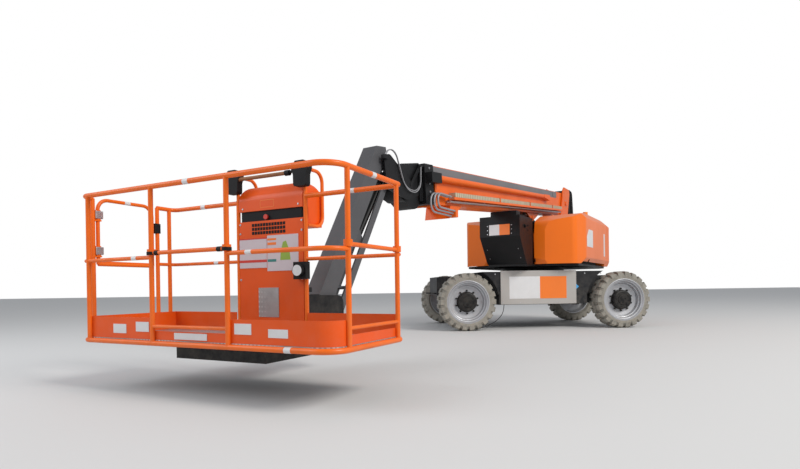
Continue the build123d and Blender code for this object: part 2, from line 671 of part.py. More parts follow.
crest += [(x, CHAIN_Z1), (x, CHAIN_Z0)]
chain = side_plate(crest, tray_side + 8, tray_side + 98)
for band in STRAP_X:
    chain = chain - block(band - 14, band + 14, tray_side, tray_side + 110, CHAIN_Z1 - 10, CHAIN_Z1 + 5)
write("energy_chain", chain, place=BOOM_PLACE)
pipes = [rod((TRAY_X0, tray_side + y, -204), (BOOM_LEN - 300, tray_side + y, -204), 28) for y in (18, 62)]
clips = [block(x, x + 30, tray_side, tray_side + 80, -190, -182) for x in range(TRAY_X0 + 200, 5600, 1000)]
write("boom_pipes", pipes, clips, place=BOOM_PLACE)
hoses = []
for y, reach, low in ((206, 4545, 1713), (233, 4500, 1745), (260, 4455, 1775)):
    points = [(4090, y, 1950), (reach, y, 1950), (reach, y, low), (3990, y, low)]
    radius = (1950 - low) / 2 - 2
    hoses.append(bent(points, [radius, radius], 24))
write("nose_hoses", hoses, place=TURNTABLE_PLACE)
seat = BOOM_BOTTOM - FIT
guard = side_plate([(5440, seat), (5790, seat), (5842, -420), (5750, -404)], -184, 184)
core = side_plate([(5500, seat - 8), (5782, seat - 8), (5832, -410), (5755, -396)], -176, 176)
hose_seat = (Pos(PIVOT_X, 0, PIVOT_Z) * Rot(0, DROOP, 0)).inverse() * block(3918, 3990 - FIT, 180, 274, 1697, 1793)
guard = guard - core + hose_seat
write("boom_guard", guard, place=BOOM_PLACE)

# Lift cylinder
lift_dx = LIFT_EYE[0] - LIFT_BASE[0]
lift_dz = LIFT_EYE[1] - LIFT_BASE[1]
LIFT_CLOSED = math.hypot(lift_dx, lift_dz)
LIFT_ANGLE = math.degrees(math.atan2(lift_dz, lift_dx))
LIFT_PLACE = Rot(0, 0, SLEW_TURN) * Pos(LIFT_BASE[0], 0, LIFT_BASE[1]) * Rot(0, -LIFT_ANGLE, 0)
BARREL_LEN = LIFT_CLOSED - 110
barrel = fuse([rod((40, 0, 0), (BARREL_LEN, 0, 0), 170), pin_y(0, 0, -90, 90, 130)])
barrel = barrel - rod((120, 0, 0), (BARREL_LEN + 10, 0, 0), 102 + 2 * FIT) - pin_y(0, 0, -100, 100, 60 + 2 * PIN_PLAY)
write("lift_barrel", barrel, place=LIFT_PLACE)
lift_rod = fuse([rod((150, 0, 0), (LIFT_CLOSED - 40, 0, 0), 102), pin_y(LIFT_CLOSED, 0, -90, 90, 104)])
write("lift_rod", lift_rod, place=LIFT_PLACE)

# Jib
JIB_PLACE = Rot(0, 0, SLEW_TURN)
DIR = (math.cos(math.radians(JIB_DROP)), -math.sin(math.radians(JIB_DROP)))
NRM = (-DIR[1], DIR[0])


def along(start, run, across=0):
    return (start[0] + DIR[0] * run + NRM[0] * across, start[1] + DIR[1] * run + NRM[1] * across)


LINK_TOP = (JIB_PIN[0] + LINK_AT[0], JIB_PIN[1] + LINK_AT[1])
JIB_LOW = along(JIB_PIN, JIB_LEN)
LINK_LOW = along(LINK_TOP, JIB_LEN)
CYL_LOW = along(JIB_PIN, *CYL_LOW_AT)


def level_bracket():
    """Two cheek plates that join the nose, the jib's beam, its link and its cylinder."""
    outline = [(*LEVEL_PIN, 130), (*JIB_PIN, 95), (*LINK_TOP, 75)]
    plates = [hull_plate(outline, *sorted((s * BRACKET_Y0, s * BRACKET_Y1))) for s in (-1, 1)]
    pins = [pin_y(*LEVEL_PIN, -BRACKET_Y1, BRACKET_Y1, 80)]
    pins += [pin_y(*p, -BRACKET_Y1 - 12, BRACKET_Y1, PIN_D) for p in (JIB_PIN, LINK_TOP)]
    bosses = [pin_y(*JIB_PIN, *sorted((s * (JIB_W / 2 + 1), s * (BRACKET_Y0 + 2))), 110) for s in (-1, 1)]
    strap = hull_plate([(4910, 1990, 22), (4700, 2240, 24)], BRACKET_Y1 - 1, BRACKET_Y1 + 4)
    clamp_low = block(4672, 4728, BRACKET_Y1 + 3, 173, 2235, 2262)
    clamp_top = block(5430, 5505, BRACKET_Y0, 173, 2182, 2224)
    return fuse(plates + pins + bosses + [strap, clamp_low, clamp_top])


def jib_hoses():
    hoses = []
    for y, drop in zip(HOSE_Y, (0, 24)):
        points = [(5472, y, 2230), (5321, y, 2423 - drop), (5067, y, 1925 - drop), (4695 + drop, y, 1925 - drop),
                  (4698 + drop / 2, y, 2234.7)]
        hoses.append(bent(points, [138 - drop / 2, 240, 180], HOSE_D))
    return hoses


def beam_at(run, across):
    return along(JIB_PIN, run, BEAM_AHEAD + across)


def jib_beam():
    """Box beam that runs ahead of the line through its two pivots."""
    half = JIB_D / 2
    end = JIB_LEN + 70
    corners = [beam_at(-50, half), beam_at(end - 40, half), beam_at(end, half - 60), beam_at(end, -half),
               beam_at(-100, -half), beam_at(-162, -40)]
    outer = side_plate(corners, -JIB_W / 2, JIB_W / 2)
    t = JIB_WALL
    core = [beam_at(60, half - t), beam_at(end - 60, half - t), beam_at(end - 60, -half + t), beam_at(60, -half + t)]
    beam = outer - side_plate(core, -JIB_W / 2 + t, JIB_W / 2 - t)
    rear = -half + 5
    ears = []
    for s in (-1, 1):
        side = sorted((s * EAR_Y0, s * EAR_Y1))
        ears.append(hull_plate([(*JIB_PIN, 70), (*beam_at(-30, rear + 30), 35), (*beam_at(160, rear), 5)], *side))
        ears.append(hull_plate([(*JIB_LOW, 62), (*beam_at(JIB_LEN - 200, rear), 5), (*beam_at(end - 40, rear + 30), 35)], *side))
        ears.append(hull_plate([(*CYL_LOW, 42), (*beam_at(880, rear), 5), (*beam_at(1080, rear), 5)], *side))
    lining = [pin_y(*JIB_PIN, *sorted((s * EAR_Y0, s * (LINK_Y0 - 5))), 96) for s in (-1, 1)]
    inside = side_plate([beam_at(60, half), beam_at(end - 60, half), beam_at(end - 60, -half + t), beam_at(60, -half + t)],
                        -JIB_W / 2 + t, JIB_W / 2 - t)
    beam = fuse([beam] + [ear - inside for ear in ears] + lining)
    for p in (JIB_PIN, JIB_LOW):
        beam = beam - pin_y(*p, -200, 200, PIN_D + 2 * PIN_PLAY)
    return beam


def jib_link():
    """Two level bars beside the cylinder, tied together once."""
    bars = []
    for s in (-1, 1):
        side = sorted((s * LINK_Y0, s * LINK_Y1))
        bar = hull_plate([(*LINK_TOP, LINK_D / 2), (*LINK_LOW, LINK_D / 2)], *side)
        for p in (LINK_TOP, LINK_LOW):
            bar = bar - pin_y(*p, -200, 200, PIN_D + 2 * PIN_PLAY)
        bars.append(bar)
    x, z = along(LINK_TOP, 1350)
    return fuse(bars + [pin_y(x, z, -LINK_Y0 - 4, LINK_Y0 + 4, 36)])


def end_bracket():
    """Cheeks at the jib's low end that carry the platform's turning gear."""
    outline = [(*JIB_LOW, 80), (*LINK_LOW, 68), (ROTATOR_X - 110, 640, 80), (ROTATOR_X - 110, 440, 60)]
    plates = [hull_plate(outline, *sorted((s * BRACKET_Y0, s * BRACKET_Y1))) for s in (-1, 1)]
    pins = [pin_y(*p, -BRACKET_Y1, BRACKET_Y1, PIN_D) for p in (JIB_LOW, LINK_LOW)]
    yoke = block(ROTATOR_X - 145, ROTATOR_X - 60, -BRACKET_Y0, BRACKET_Y0, 440, 700)
    housing = pin_z(ROTATOR_X, 0, 420, 720, 230)
    whole = fuse(plates + pins + [yoke, housing])
    return whole - pin_z(ROTATOR_X, 0, 300, 900, 90 + 2 * PIN_PLAY)


write("level_bracket", level_bracket(), place=JIB_PLACE)
write("jib_hoses", jib_hoses(), place=JIB_PLACE)
write("jib_beam", jib_beam(), place=JIB_PLACE)
write("jib_link", jib_link(), place=JIB_PLACE)
write("end_bracket", end_bracket(), place=JIB_PLACE)

cyl_dx, cyl_dz = CYL_LOW[0] - LINK_TOP[0], CYL_LOW[1] - LINK_TOP[1]
CYL_CLOSED = math.hypot(cyl_dx, cyl_dz)
CYL_ANGLE = math.degrees(math.atan2(cyl_dz, cyl_dx))
CYL_PLACE = Rot(0, 0, SLEW_TURN) * Pos(LINK_TOP[0], 0, LINK_TOP[1]) * Rot(0, -CYL_ANGLE, 0)
barrel = fuse([rod((30, 0, 0), (CYL_CLOSED - 80, 0, 0), 68), pin_y(0, 0, -38, 38, 82)])
barrel = barrel - rod((90, 0, 0), (CYL_CLOSED, 0, 0), 45 + 2 * FIT) - pin_y(0, 0, -80, 80, PIN_D + 2 * PIN_PLAY)
write("jib_barrel", barrel, place=CYL_PLACE)
jib_rod = fuse([rod((100, 0, 0), (CYL_CLOSED - 25, 0, 0), 45), pin_y(CYL_CLOSED, 0, -36, 36, 62)])
write("jib_rod", jib_rod, place=CYL_PLACE)

# Platform: its own frame has the turning axis at the origin, +X along the long side
# and the back side, next to the jib, at y = PLAT_BACK
LEFT, RIGHT = PLAT_SHIFT - PLAT_W / 2, PLAT_SHIFT + PLAT_W / 2
BACK, FRONT = PLAT_BACK, PLAT_BACK - PLAT_D
POST_X = (LEFT + 80, LEFT + 820, LEFT + 1560)
LATCH_Y = FRONT + 700
HINGE_Y = FRONT + 93
HINGE_Z = (1070, 1365)
RIGHT_POST_Y = FRONT + 160
PANEL_MID = 10
PANEL_HALF = 345
PANEL_L, PANEL_R = PANEL_MID - PANEL_HALF, PANEL_MID + PANEL_HALF
SIDE_POSTS = (PANEL_L - 19, PANEL_R + 19)
PANEL_FACE = BACK - 12
PANEL_REAR = BACK + 30


def loop_rail(z, points, radii):
    return bent([(x, y, z) for x, y in points], radii, RAIL_D)


GATE_POST = (LEFT, HINGE_Y)
LEFT_POST = (LEFT + GATE_CORNER_R, FRONT)
BACK_RIGHT = (RIGHT, BACK - 75)
POSTS = [LEFT_POST, (POST_X[1], FRONT), (POST_X[2], FRONT), (RIGHT, RIGHT_POST_Y), BACK_RIGHT,
         GATE_POST, (LEFT, LATCH_Y), (LEFT, BACK - 62)]


def platform_rails():
    r, g = CORNER_R, GATE_CORNER_R
    inner_left, inner_right = SIDE_POSTS
    front_left = (LEFT, FRONT)
    tubes = [loop_rail(PLAT_Z, [(0, BACK), (RIGHT, BACK), (RIGHT, FRONT), (0, FRONT)], [60, r])]
    tubes.append(loop_rail(PLAT_Z, [(0, BACK), (LEFT, BACK), front_left, (0, FRONT)], [60, g]))
    top = [(inner_right, BACK), (RIGHT, BACK), (RIGHT, FRONT), front_left, GATE_POST]
    tubes.append(loop_rail(TOP_Z, top, [60, r, g]))
    tubes.append(loop_rail(TOP_Z, [(LEFT, LATCH_Y), (LEFT, BACK), (inner_left, BACK)], [60]))
    for x, y in POSTS:
        tubes.append(rod((x, y, PLAT_Z), (x, y, TOP_Z), POST_D))
    for x in SIDE_POSTS:
        tubes.append(rod((x, BACK, PLAT_Z), (x, BACK, TOP_Z + 20), POST_D))
    tubes.append(rod((*LEFT_POST, MID_Z), (POST_X[1], FRONT, MID_Z), BAR_D))
    bends = (
        # corner points of a mid rail, bend radii
        ([LEFT_POST, front_left, GATE_POST], [g - 5]),
        ([(POST_X[2], FRONT), (RIGHT, FRONT), (RIGHT, RIGHT_POST_Y)], [r - 5]),
        ([(inner_right, BACK), (RIGHT, BACK), BACK_RIGHT], [60]),
        ([(inner_left, BACK), (LEFT, BACK), (LEFT, LATCH_Y)], [60]),
    )
    for points, radii in bends:
        tubes.append(bent([(x, y, MID_Z) for x, y in points], radii, BAR_D))
    tubes.append(rod((POST_X[1], FRONT, 518), (POST_X[2], FRONT, 518), 26))
    tubes.append(rod((RIGHT, RIGHT_POST_Y, 528), (RIGHT, BACK - 75, 528), 26))
    whole = fuse(tubes)
    for z in HINGE_Z:
        lug = block(LEFT - 20, LEFT + 20, HINGE_Y, FRONT + GATE_Y0 + 20, z - 12 - FIT, z - FIT)
        whole = whole + (lug - pin_z(LEFT, FRONT + GATE_Y0, z - 60, z + 60, BAR_D + 2 * PIN_PLAY))
    return whole


RAILS = platform_rails()
FLOOR_Z0, FLOOR_Z1 = FLOOR_TOP - 18, FLOOR_TOP


def round_front(solid, inset):
    """Round the two upright front corners of a block set in from the rails."""
    upright = [e for e in solid.edges().filter_by(Axis.Z) if e.center().Y < FRONT + 100]
    left = [e for e in upright if e.center().X < 0]
    solid = fillet(left, GATE_CORNER_R - inset)
    upright = [e for e in solid.edges().filter_by(Axis.Z) if e.center().Y < FRONT + 100]
    right = [e for e in upright if e.center().X > RIGHT - inset - 1]
    return fillet(right, CORNER_R - inset)


def platform_floor():
    edge = 8
    plate = block(LEFT + edge, RIGHT - edge, FRONT + edge, BACK - edge, FLOOR_Z0, FLOOR_Z1)
    return round_front(plate, edge) - RAILS


def toe_boards():
    t = 6
    inset = 12
    x0, x1, y0, y1 = LEFT + inset, RIGHT - inset, FRONT + inset, BACK - inset

    def ring(z0, z1):
        outer = block(x0, x1, y0, y1, z0, z1)
        inner = block(x0 + t, x1 - t, y0 + t, y1 - t, z0 - 1, z1 + 1)
        return round_front(outer, inset) - round_front(inner, inset + t)
    low = ring(FLOOR_Z1, 484)
    high = ring(484, TOE_Z)
    high = high - block(POST_X[1], POST_X[2], FRONT - 50, FRONT + 200, 480, 700)
    high = high - block(RIGHT - 100, RIGHT + 100, RIGHT_POST_Y, BACK - 75, 480, 700)
    high = high - block(PANEL_L - 40, PANEL_R + 40, BACK - 60, BACK + 60, 480, 700)
    low = low - block(PANEL_L - 40, PANEL_R + 40, BACK - 60, BACK + 60, 300, 700)
    return low + high - RAILS


def console():
    """Tall back panel with the hooded controls on top."""
    panel = block(PANEL_L, PANEL_R, PANEL_FACE, PANEL_REAR, FLOOR_Z1, 1362)
    hood_side = [(BACK - 14, 1450, 0), (BACK - 14, 1570, 90), (BACK + 50, 1672, 80), (BACK + 170, 1672, 80),
                 (BACK + 245, 1570, 60), (BACK + 250, 1362, 0), (BACK + 60, 1362, 0), (BACK + 60, 1450, 0)]
    hood = extrude(Plane.YZ.offset(PANEL_L) * soft_face(faceted(hood_side)), PANEL_R - PANEL_L)
    ends = [(PANEL_L - 6, 1340, 0), (PANEL_R + 6, 1340, 0), (PANEL_R + 6, 1679, 115), (PANEL_L - 6, 1679, 115)]
    hood = hood & (Rot(90, 0, 0) * Pos(0, 0, -BACK - 270) * extrude(soft_face(faceted(ends)), 310))
    back = block(PANEL_L, PANEL_R, PANEL_REAR, BACK + 250, 1300, 1362)
    return fuse([panel, hood, back])


write("platform_rails", RAILS, place=PLATFORM_PLACE)
write("platform_floor", platform_floor(), place=PLATFORM_PLACE)
write("toe_boards", toe_boards(), place=PLATFORM_PLACE)
CONSOLE = console()
write("console", CONSOLE, place=PLATFORM_PLACE)
control_face = block(PANEL_L + 20, PANEL_R - 20, BACK - 2, BACK + 59, 1362, 1449)
write("control_face", control_face, place=PLATFORM_PLACE)


def guard_hoops():
    hoops = []
    for x in SIDE_POSTS:
        hoops.append(bent([(x, BACK, TOP_Z + 20), (x, BACK, 1765), (x, BACK + 235, 1765), (x, BACK + 235, 1300),
                           (x, BACK + POST_D / 2 + FIT, 1300)], [60, 90, 90], 30))
    return hoops


write("console_guard", guard_hoops(), place=PLATFORM_PLACE)
CASE_Y0, CASE_Y1 = BACK - 78, BACK - 15 - FIT
CASE = [(-62, 1605, 22), (62, 1605, 22), (64, 1700, 30), (82, 1745, 12), (82, 1778, 8), (55, 1780, 0), (48, 1812, 14),
        (-48, 1812, 14), (-55, 1780, 0), (-82, 1778, 8), (-82, 1745, 12), (-64, 1700, 30)]


def crush_bar():
    """Pressure bar above the controls between two tapered cases."""
    parts = []
    for x in SIDE_POSTS:
        face = soft_face([(x + u, v, r) for u, v, r in CASE])
        parts.append(Rot(90, 0, 0) * Pos(0, 0, -CASE_Y1) * extrude(face, CASE_Y1 - CASE_Y0))
    y, z = BACK - 56, 1727
    knob_x = SIDE_POSTS[1] - 150
    parts.append(rod((SIDE_POSTS[0], y, z), (knob_x, y, z), 30))
    parts.append(rod((knob_x - 5, y, z), (knob_x + 38, y, z), 46))
    parts.append(rod((knob_x + 20, y, z), (SIDE_POSTS[1], y, z + 22), 22))
    return fuse(parts)


write("crush_bar", crush_bar(), place=PLATFORM_PLACE)
LAMP_X = 360
lamp = fuse([block(LAMP_X - 62, LAMP_X + 62, BACK - 75, BACK - POST_D / 2 - FIT, 855, 995),
             rod((LAMP_X, BACK - 105, 925), (LAMP_X, BACK - 70, 925), 100)])
write("work_lamp", lamp - RAILS, place=PLATFORM_PLACE)

tray_walls = block(-455, 455, FRONT + 300, BACK - 25, 245, 375.5) - block(-443, 443, FRONT + 312, BACK - 37, 244, 363)
support = fuse([tray_walls,
                block(-140, 140, BACK - 30, 130, 335, 375.5),
                block(-140, 140, BACK - 30, BACK + 60, 375, 790),
                block(-140, 140, BACK, 130, 745, 790)])
support = support - block(-200, 200, BACK - 31, PANEL_REAR + FIT, 376, 800) - RAILS
support = fuse([support, pin_z(0, 0, 340, 760, 90)])
write("platform_support", support, place=PLATFORM_PLACE)


def gate():
    """Upper half gate with a round-topped hoop, on the left side."""
    x = LEFT
    y0, y1 = FRONT + GATE_Y0, FRONT + 645
    z0 = 1000
    hoop = bent([(x, y0, z0), (x, y0, TOP_Z), (x, y1, TOP_Z), (x, y1, z0)], [90, 90], 30)
    low = rod((x, y0, z0), (x, y1, z0), 30)
    plate = block(x - 4, x + 4, y0, y1, z0, z0 + 26)
    hinges = [pin_z(x, y0, z, z + 80, 44) for z in HINGE_Z]
    return fuse([hoop, low, plate] + hinges)


write("side_gate", gate(), place=PLATFORM_PLACE)


def drop_bar(start, end):
    """Sliding mid bar with a ring round the post at each end."""
    z0, z1 = MID_Z + BAR_D / 2 + FIT, MID_Z + 58
    middle = z0 + 16
    whole = rod((*start, middle), (*end, middle), BAR_D)
    for x, y in (start, end):
        whole = whole + pin_z(x, y, z0, z1, POST_D + 24)
    for x, y in (start, end):
        whole = whole - pin_z(x, y, z0 - 9, z1 + 9, POST_D + 2 * FIT)
    return whole


write("drop_bar_front", drop_bar((POST_X[1], FRONT), (POST_X[2], FRONT)), place=PLATFORM_PLACE)
write("drop_bar_side", drop_bar((RIGHT, RIGHT_POST_Y), BACK_RIGHT), place=PLATFORM_PLACE)

# Earth strap
STRAP_D = 12
STRAP_Y = -1000
STRAP_POINTS = [(-885, STRAP_Y, BELLY_Z - 2.5 * FIT), (-890, STRAP_Y, 350), (-925, STRAP_Y, 262), (-990, STRAP_Y, 185),
                (-1080, STRAP_Y, 122), (-1180, STRAP_Y, 74), (-1285, STRAP_Y, 38), (-1390, STRAP_Y, 16)]
write("earth_strap", cord("earth_strap", STRAP_POINTS, STRAP_D))
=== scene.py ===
import math

import bmesh
import bpy
from mathutils import Matrix, Vector


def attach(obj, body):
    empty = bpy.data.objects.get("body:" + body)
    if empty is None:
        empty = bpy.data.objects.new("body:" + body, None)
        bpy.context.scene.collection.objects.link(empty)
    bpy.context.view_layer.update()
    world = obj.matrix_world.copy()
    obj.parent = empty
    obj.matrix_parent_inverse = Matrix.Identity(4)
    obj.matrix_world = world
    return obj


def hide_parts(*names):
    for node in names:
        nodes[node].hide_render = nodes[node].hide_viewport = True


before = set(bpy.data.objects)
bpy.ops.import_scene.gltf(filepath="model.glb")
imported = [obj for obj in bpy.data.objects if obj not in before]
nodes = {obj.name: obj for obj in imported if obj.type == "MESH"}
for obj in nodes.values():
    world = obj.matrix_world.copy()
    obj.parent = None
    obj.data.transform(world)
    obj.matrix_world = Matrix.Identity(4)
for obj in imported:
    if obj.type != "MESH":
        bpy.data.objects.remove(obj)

scene = bpy.context.scene
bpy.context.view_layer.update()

# Places: the turntable, the boom and the platform each have a frame of their own
SLEW_TURN, BOOM_DROOP, PLATFORM_TURN = math.radians(-127.5), math.radians(5), math.radians(95.2)
PIVOT_X, PIVOT_Z = -1.78, 2.61
ROTATOR_X = 6.8
SLEW = Matrix.Rotation(SLEW_TURN, 4, "Z")
BOOM = SLEW @ Matrix.Translation((PIVOT_X, 0, PIVOT_Z)) @ Matrix.Rotation(BOOM_DROOP, 4, "Y")
PLATFORM = SLEW @ Matrix.Translation((ROTATOR_X, 0, 0)) @ Matrix.Rotation(PLATFORM_TURN, 4, "Z")
CHASSIS = Matrix.Identity(4)

# Platform: planes and heights of its rails, radii of their bars, faces of its toe boards, console and hood
LEFT, RIGHT, BACK, FRONT = -1.163, 1.247, -0.255, -1.147
TOP_RAIL, MID_RAIL, LOW_RAIL = 1.535, 1.02, 0.395
TOP_R, THIN_R = 0.019, 0.015
TOE_FACE, PANEL_FACE, HOOD_FACE = -1.135, -0.267, -0.269

# Chassis: sides of its raised panels and of its frame, middle plane and axle height of the wheels
SIGN_FACE, SPINE_FACE = 1.057, 1.035
WHEEL_Y, AXLE_Z = 1.055, 0.505

# Turntable: front and side of the front block, side of the covers
BLOCK_FACE, CHEEK_FACE, COVER_FACE = 1.75, 0.36, 1.15

# Boom: start of the energy chain and its links in each metre
CHAIN_START, LINKS_PER_METRE = 0.58, 16.6667

# A mark reaches this far into the face behind it, and a bolt stands this far off it
SINK, CLEAR = 0.0005, 0.0002

# Camera
CAMERA_PLACE = (-3.598, -10.151, 0.778)
CAMERA_AXES = (Vector((0.995599, -0.092773, -0.013699)), Vector((0.014197, 0.004704, 0.999888)),
               Vector((-0.092698, -0.995682, 0.006)))
camera_data = bpy.data.cameras.new("photo_camera")
camera = bpy.data.objects.new("photo_camera", camera_data)
scene.collection.objects.link(camera)
camera_data.sensor_width = 36
camera_data.lens = 23.6
camera_data.shift_y = 0.0699
camera_data.clip_start, camera_data.clip_end = 0.05, 200
camera.matrix_world = Matrix.Translation(CAMERA_PLACE) @ Matrix(CAMERA_AXES).transposed().to_4x4()
scene.camera = camera
scene.view_settings.view_transform = "Standard"


# Shading
def add(tree, kind, **settings):
    node = tree.nodes.new(kind)
    for key, value in settings.items():
        setattr(node, key, value)
    return node


def link(tree, source, target):
    tree.links.new(source, target)


def new_group(name, inputs, outputs):
    tree = bpy.data.node_groups.new(name, "ShaderNodeTree")
    for label, kind, value in inputs:
        socket = tree.interface.new_socket(label, in_out="INPUT", socket_type=kind)
        if value is not None:
            socket.default_value = value
    for label, kind in outputs:
        tree.interface.new_socket(label, in_out="OUTPUT", socket_type=kind)
    return tree, add(tree, "NodeGroupInput"), add(tree, "NodeGroupOutput")


def noise(tree, coordinates, scale, detail, roughness):
    texture = add(tree, "ShaderNodeTexNoise")
    texture.inputs["Detail"].default_value = detail
    texture.inputs["Roughness"].default_value = roughness
    if isinstance(scale, (int, float)):
        texture.inputs["Scale"].default_value = scale
    else:
        link(tree, scale, texture.inputs["Scale"])
    link(tree, coordinates, texture.inputs["Vector"])
    return texture.outputs["Fac"]


def spread(tree, value, low, high, out_low=0.0, out_high=1.0):
    ramp = add(tree, "ShaderNodeMapRange", clamp=True)
    link(tree, value, ramp.inputs["Value"])
    for label, number in (("From Min", low), ("From Max", high), ("To Min", out_low), ("To Max", out_high)):
        ramp.inputs[label].default_value = number
    return ramp.outputs["Result"]


def maths(tree, operation, first, second):
    step = add(tree, "ShaderNodeMath", operation=operation)
    for socket, value in zip(step.inputs, (first, second)):
        if isinstance(value, (int, float)):
            socket.default_value = value
        else:
            link(tree, value, socket)
    return step.outputs[0]


def remap(tree, coordinates, **settings):
    """Coordinates moved, turned or scaled."""
    mapping = add(tree, "ShaderNodeMapping")
    for label, value in settings.items():
        mapping.inputs[label].default_value = value
    link(tree, coordinates, mapping.inputs["Vector"])
    return mapping.outputs["Vector"]


def blend_colours(tree, factor, first, second):
    mix = add(tree, "ShaderNodeMix", data_type="RGBA")
    for socket, value in ((mix.inputs[0], factor), (mix.inputs[6], first), (mix.inputs[7], second)):
        if isinstance(value, (tuple, float)):
            socket.default_value = value
        else:
            link(tree, value, socket)
    return mix.outputs[2]


def weathering_group():
    """Uneven tone over a painted surface, with faint dull patches."""
    tree, start, end = new_group(
        "weathering",
        [("Coordinates", "NodeSocketVector", None), ("Colour", "NodeSocketColor", None),
         ("Dull Colour", "NodeSocketColor", None), ("Scale", "NodeSocketFloat", 3.0),
         ("Amount", "NodeSocketFloat", 0.3)],
        [("Colour", "NodeSocketColor"), ("Mask", "NodeSocketFloat")])
    wide = noise(tree, start.outputs["Coordinates"], start.outputs["Scale"], 6.0, 0.6)
    patch = maths(tree, "MULTIPLY", spread(tree, wide, 0.42, 0.7), start.outputs["Amount"])
    colour = blend_colours(tree, patch, start.outputs["Colour"], start.outputs["Dull Colour"])
    link(tree, colour, end.inputs["Colour"])
    link(tree, patch, end.inputs["Mask"])
    return tree


def dust_group():
    """Dust that settles on upward faces and gathers low down."""
    tree, start, end = new_group(
        "settled_dust",
        [("Coordinates", "NodeSocketVector", None), ("Top", "NodeSocketFloat", 0.3),
         ("Low", "NodeSocketFloat", 0.4)],
        [("Mask", "NodeSocketFloat")])
    geometry = add(tree, "ShaderNodeNewGeometry")
    facing = add(tree, "ShaderNodeSeparateXYZ")
    link(tree, geometry.outputs["Normal"], facing.inputs[0])
    level = spread(tree, facing.outputs["Z"], 0.55, 0.98)
    place = add(tree, "ShaderNodeSeparateXYZ")
    link(tree, start.outputs["Coordinates"], place.inputs[0])
    near_ground = spread(tree, place.outputs["Z"], 1.1, 0.15)
    grains = spread(tree, noise(tree, start.outputs["Coordinates"], 9.0, 8.0, 0.65), 0.38, 0.68)
    on_top = maths(tree, "MULTIPLY", level, start.outputs["Top"])
    low = maths(tree, "MULTIPLY", near_ground, start.outputs["Low"])
    both = maths(tree, "MAXIMUM", on_top, low)
    link(tree, maths(tree, "MULTIPLY", both, grains), end.inputs["Mask"])
    return tree


def grain_group():
    """Height of a fine even grain over a slower ripple."""
    tree, start, end = new_group(
        "surface_grain",
        [("Coordinates", "NodeSocketVector", None), ("Scale", "NodeSocketFloat", 200.0),
         ("Ripple", "NodeSocketFloat", 0.3)],
        [("Height", "NodeSocketFloat")])
    fine = noise(tree, start.outputs["Coordinates"], start.outputs["Scale"], 2.0, 0.5)
    slow = noise(tree, start.outputs["Coordinates"], 14.0, 2.0, 0.5)
    ripple = maths(tree, "MULTIPLY", slow, start.outputs["Ripple"])
    link(tree, maths(tree, "ADD", fine, ripple), end.inputs["Height"])
    return tree


def scuff_group():
    """Sparse thin scratches and chips as a mask."""
    tree, start, end = new_group(
        "scuffs",
        [("Coordinates", "NodeSocketVector", None), ("Scale", "NodeSocketFloat", 25.0)],
        [("Mask", "NodeSocketFloat")])
    stretched = remap(tree, start.outputs["Coordinates"], Scale=(1.0, 1.0, 0.35))
    speck = noise(tree, stretched, start.outputs["Scale"], 10.0, 0.75)
    region = noise(tree, start.outputs["Coordinates"], 2.3, 2.0, 0.5)
    mask = maths(tree, "MULTIPLY", spread(tree, speck, 0.66, 0.7), spread(tree, region, 0.5, 0.6))
    link(tree, mask, end.inputs["Mask"])
    return tree


WEATHERING, DUST, GRAIN, SCUFFS = weathering_group(), dust_group(), grain_group(), scuff_group()


def place_group(tree, group, coordinates, **values):
    node = add(tree, "ShaderNodeGroup", node_tree=group)
    link(tree, coordinates, node.inputs["Coordinates"])
    for label, value in values.items():
        socket = node.inputs[label.replace("_", " ")]
        if isinstance(value, (tuple, float, int)):
            socket.default_value = value
        else:
            link(tree, value, socket)
    return node


def start_material(name):
    material = bpy.data.materials.new(name)
    material.use_nodes = True
    tree = material.node_tree
    tree.nodes.clear()
    output = add(tree, "ShaderNodeOutputMaterial")
    shader = add(tree, "ShaderNodeBsdfPrincipled")
    link(tree, shader.outputs[0], output.inputs[0])
    coordinates = add(tree, "ShaderNodeTexCoord").outputs["Object"]
    return material, tree, shader, coordinates


def raise_surface(tree, height, strength, shader):
    """Bump from a height, at most 2 mm deep."""
    bump = add(tree, "ShaderNodeBump")
    bump.inputs["Strength"].default_value = strength
    bump.inputs["Distance"].default_value = 0.002
    link(tree, height, bump.inputs["Height"])
    link(tree, bump.outputs["Normal"], shader.inputs["Normal"])


def darker(colour, amount):
    return tuple(c * amount for c in colour[:3]) + (1.0,)


DUST_COLOUR = (0.42, 0.38, 0.32, 1.0)


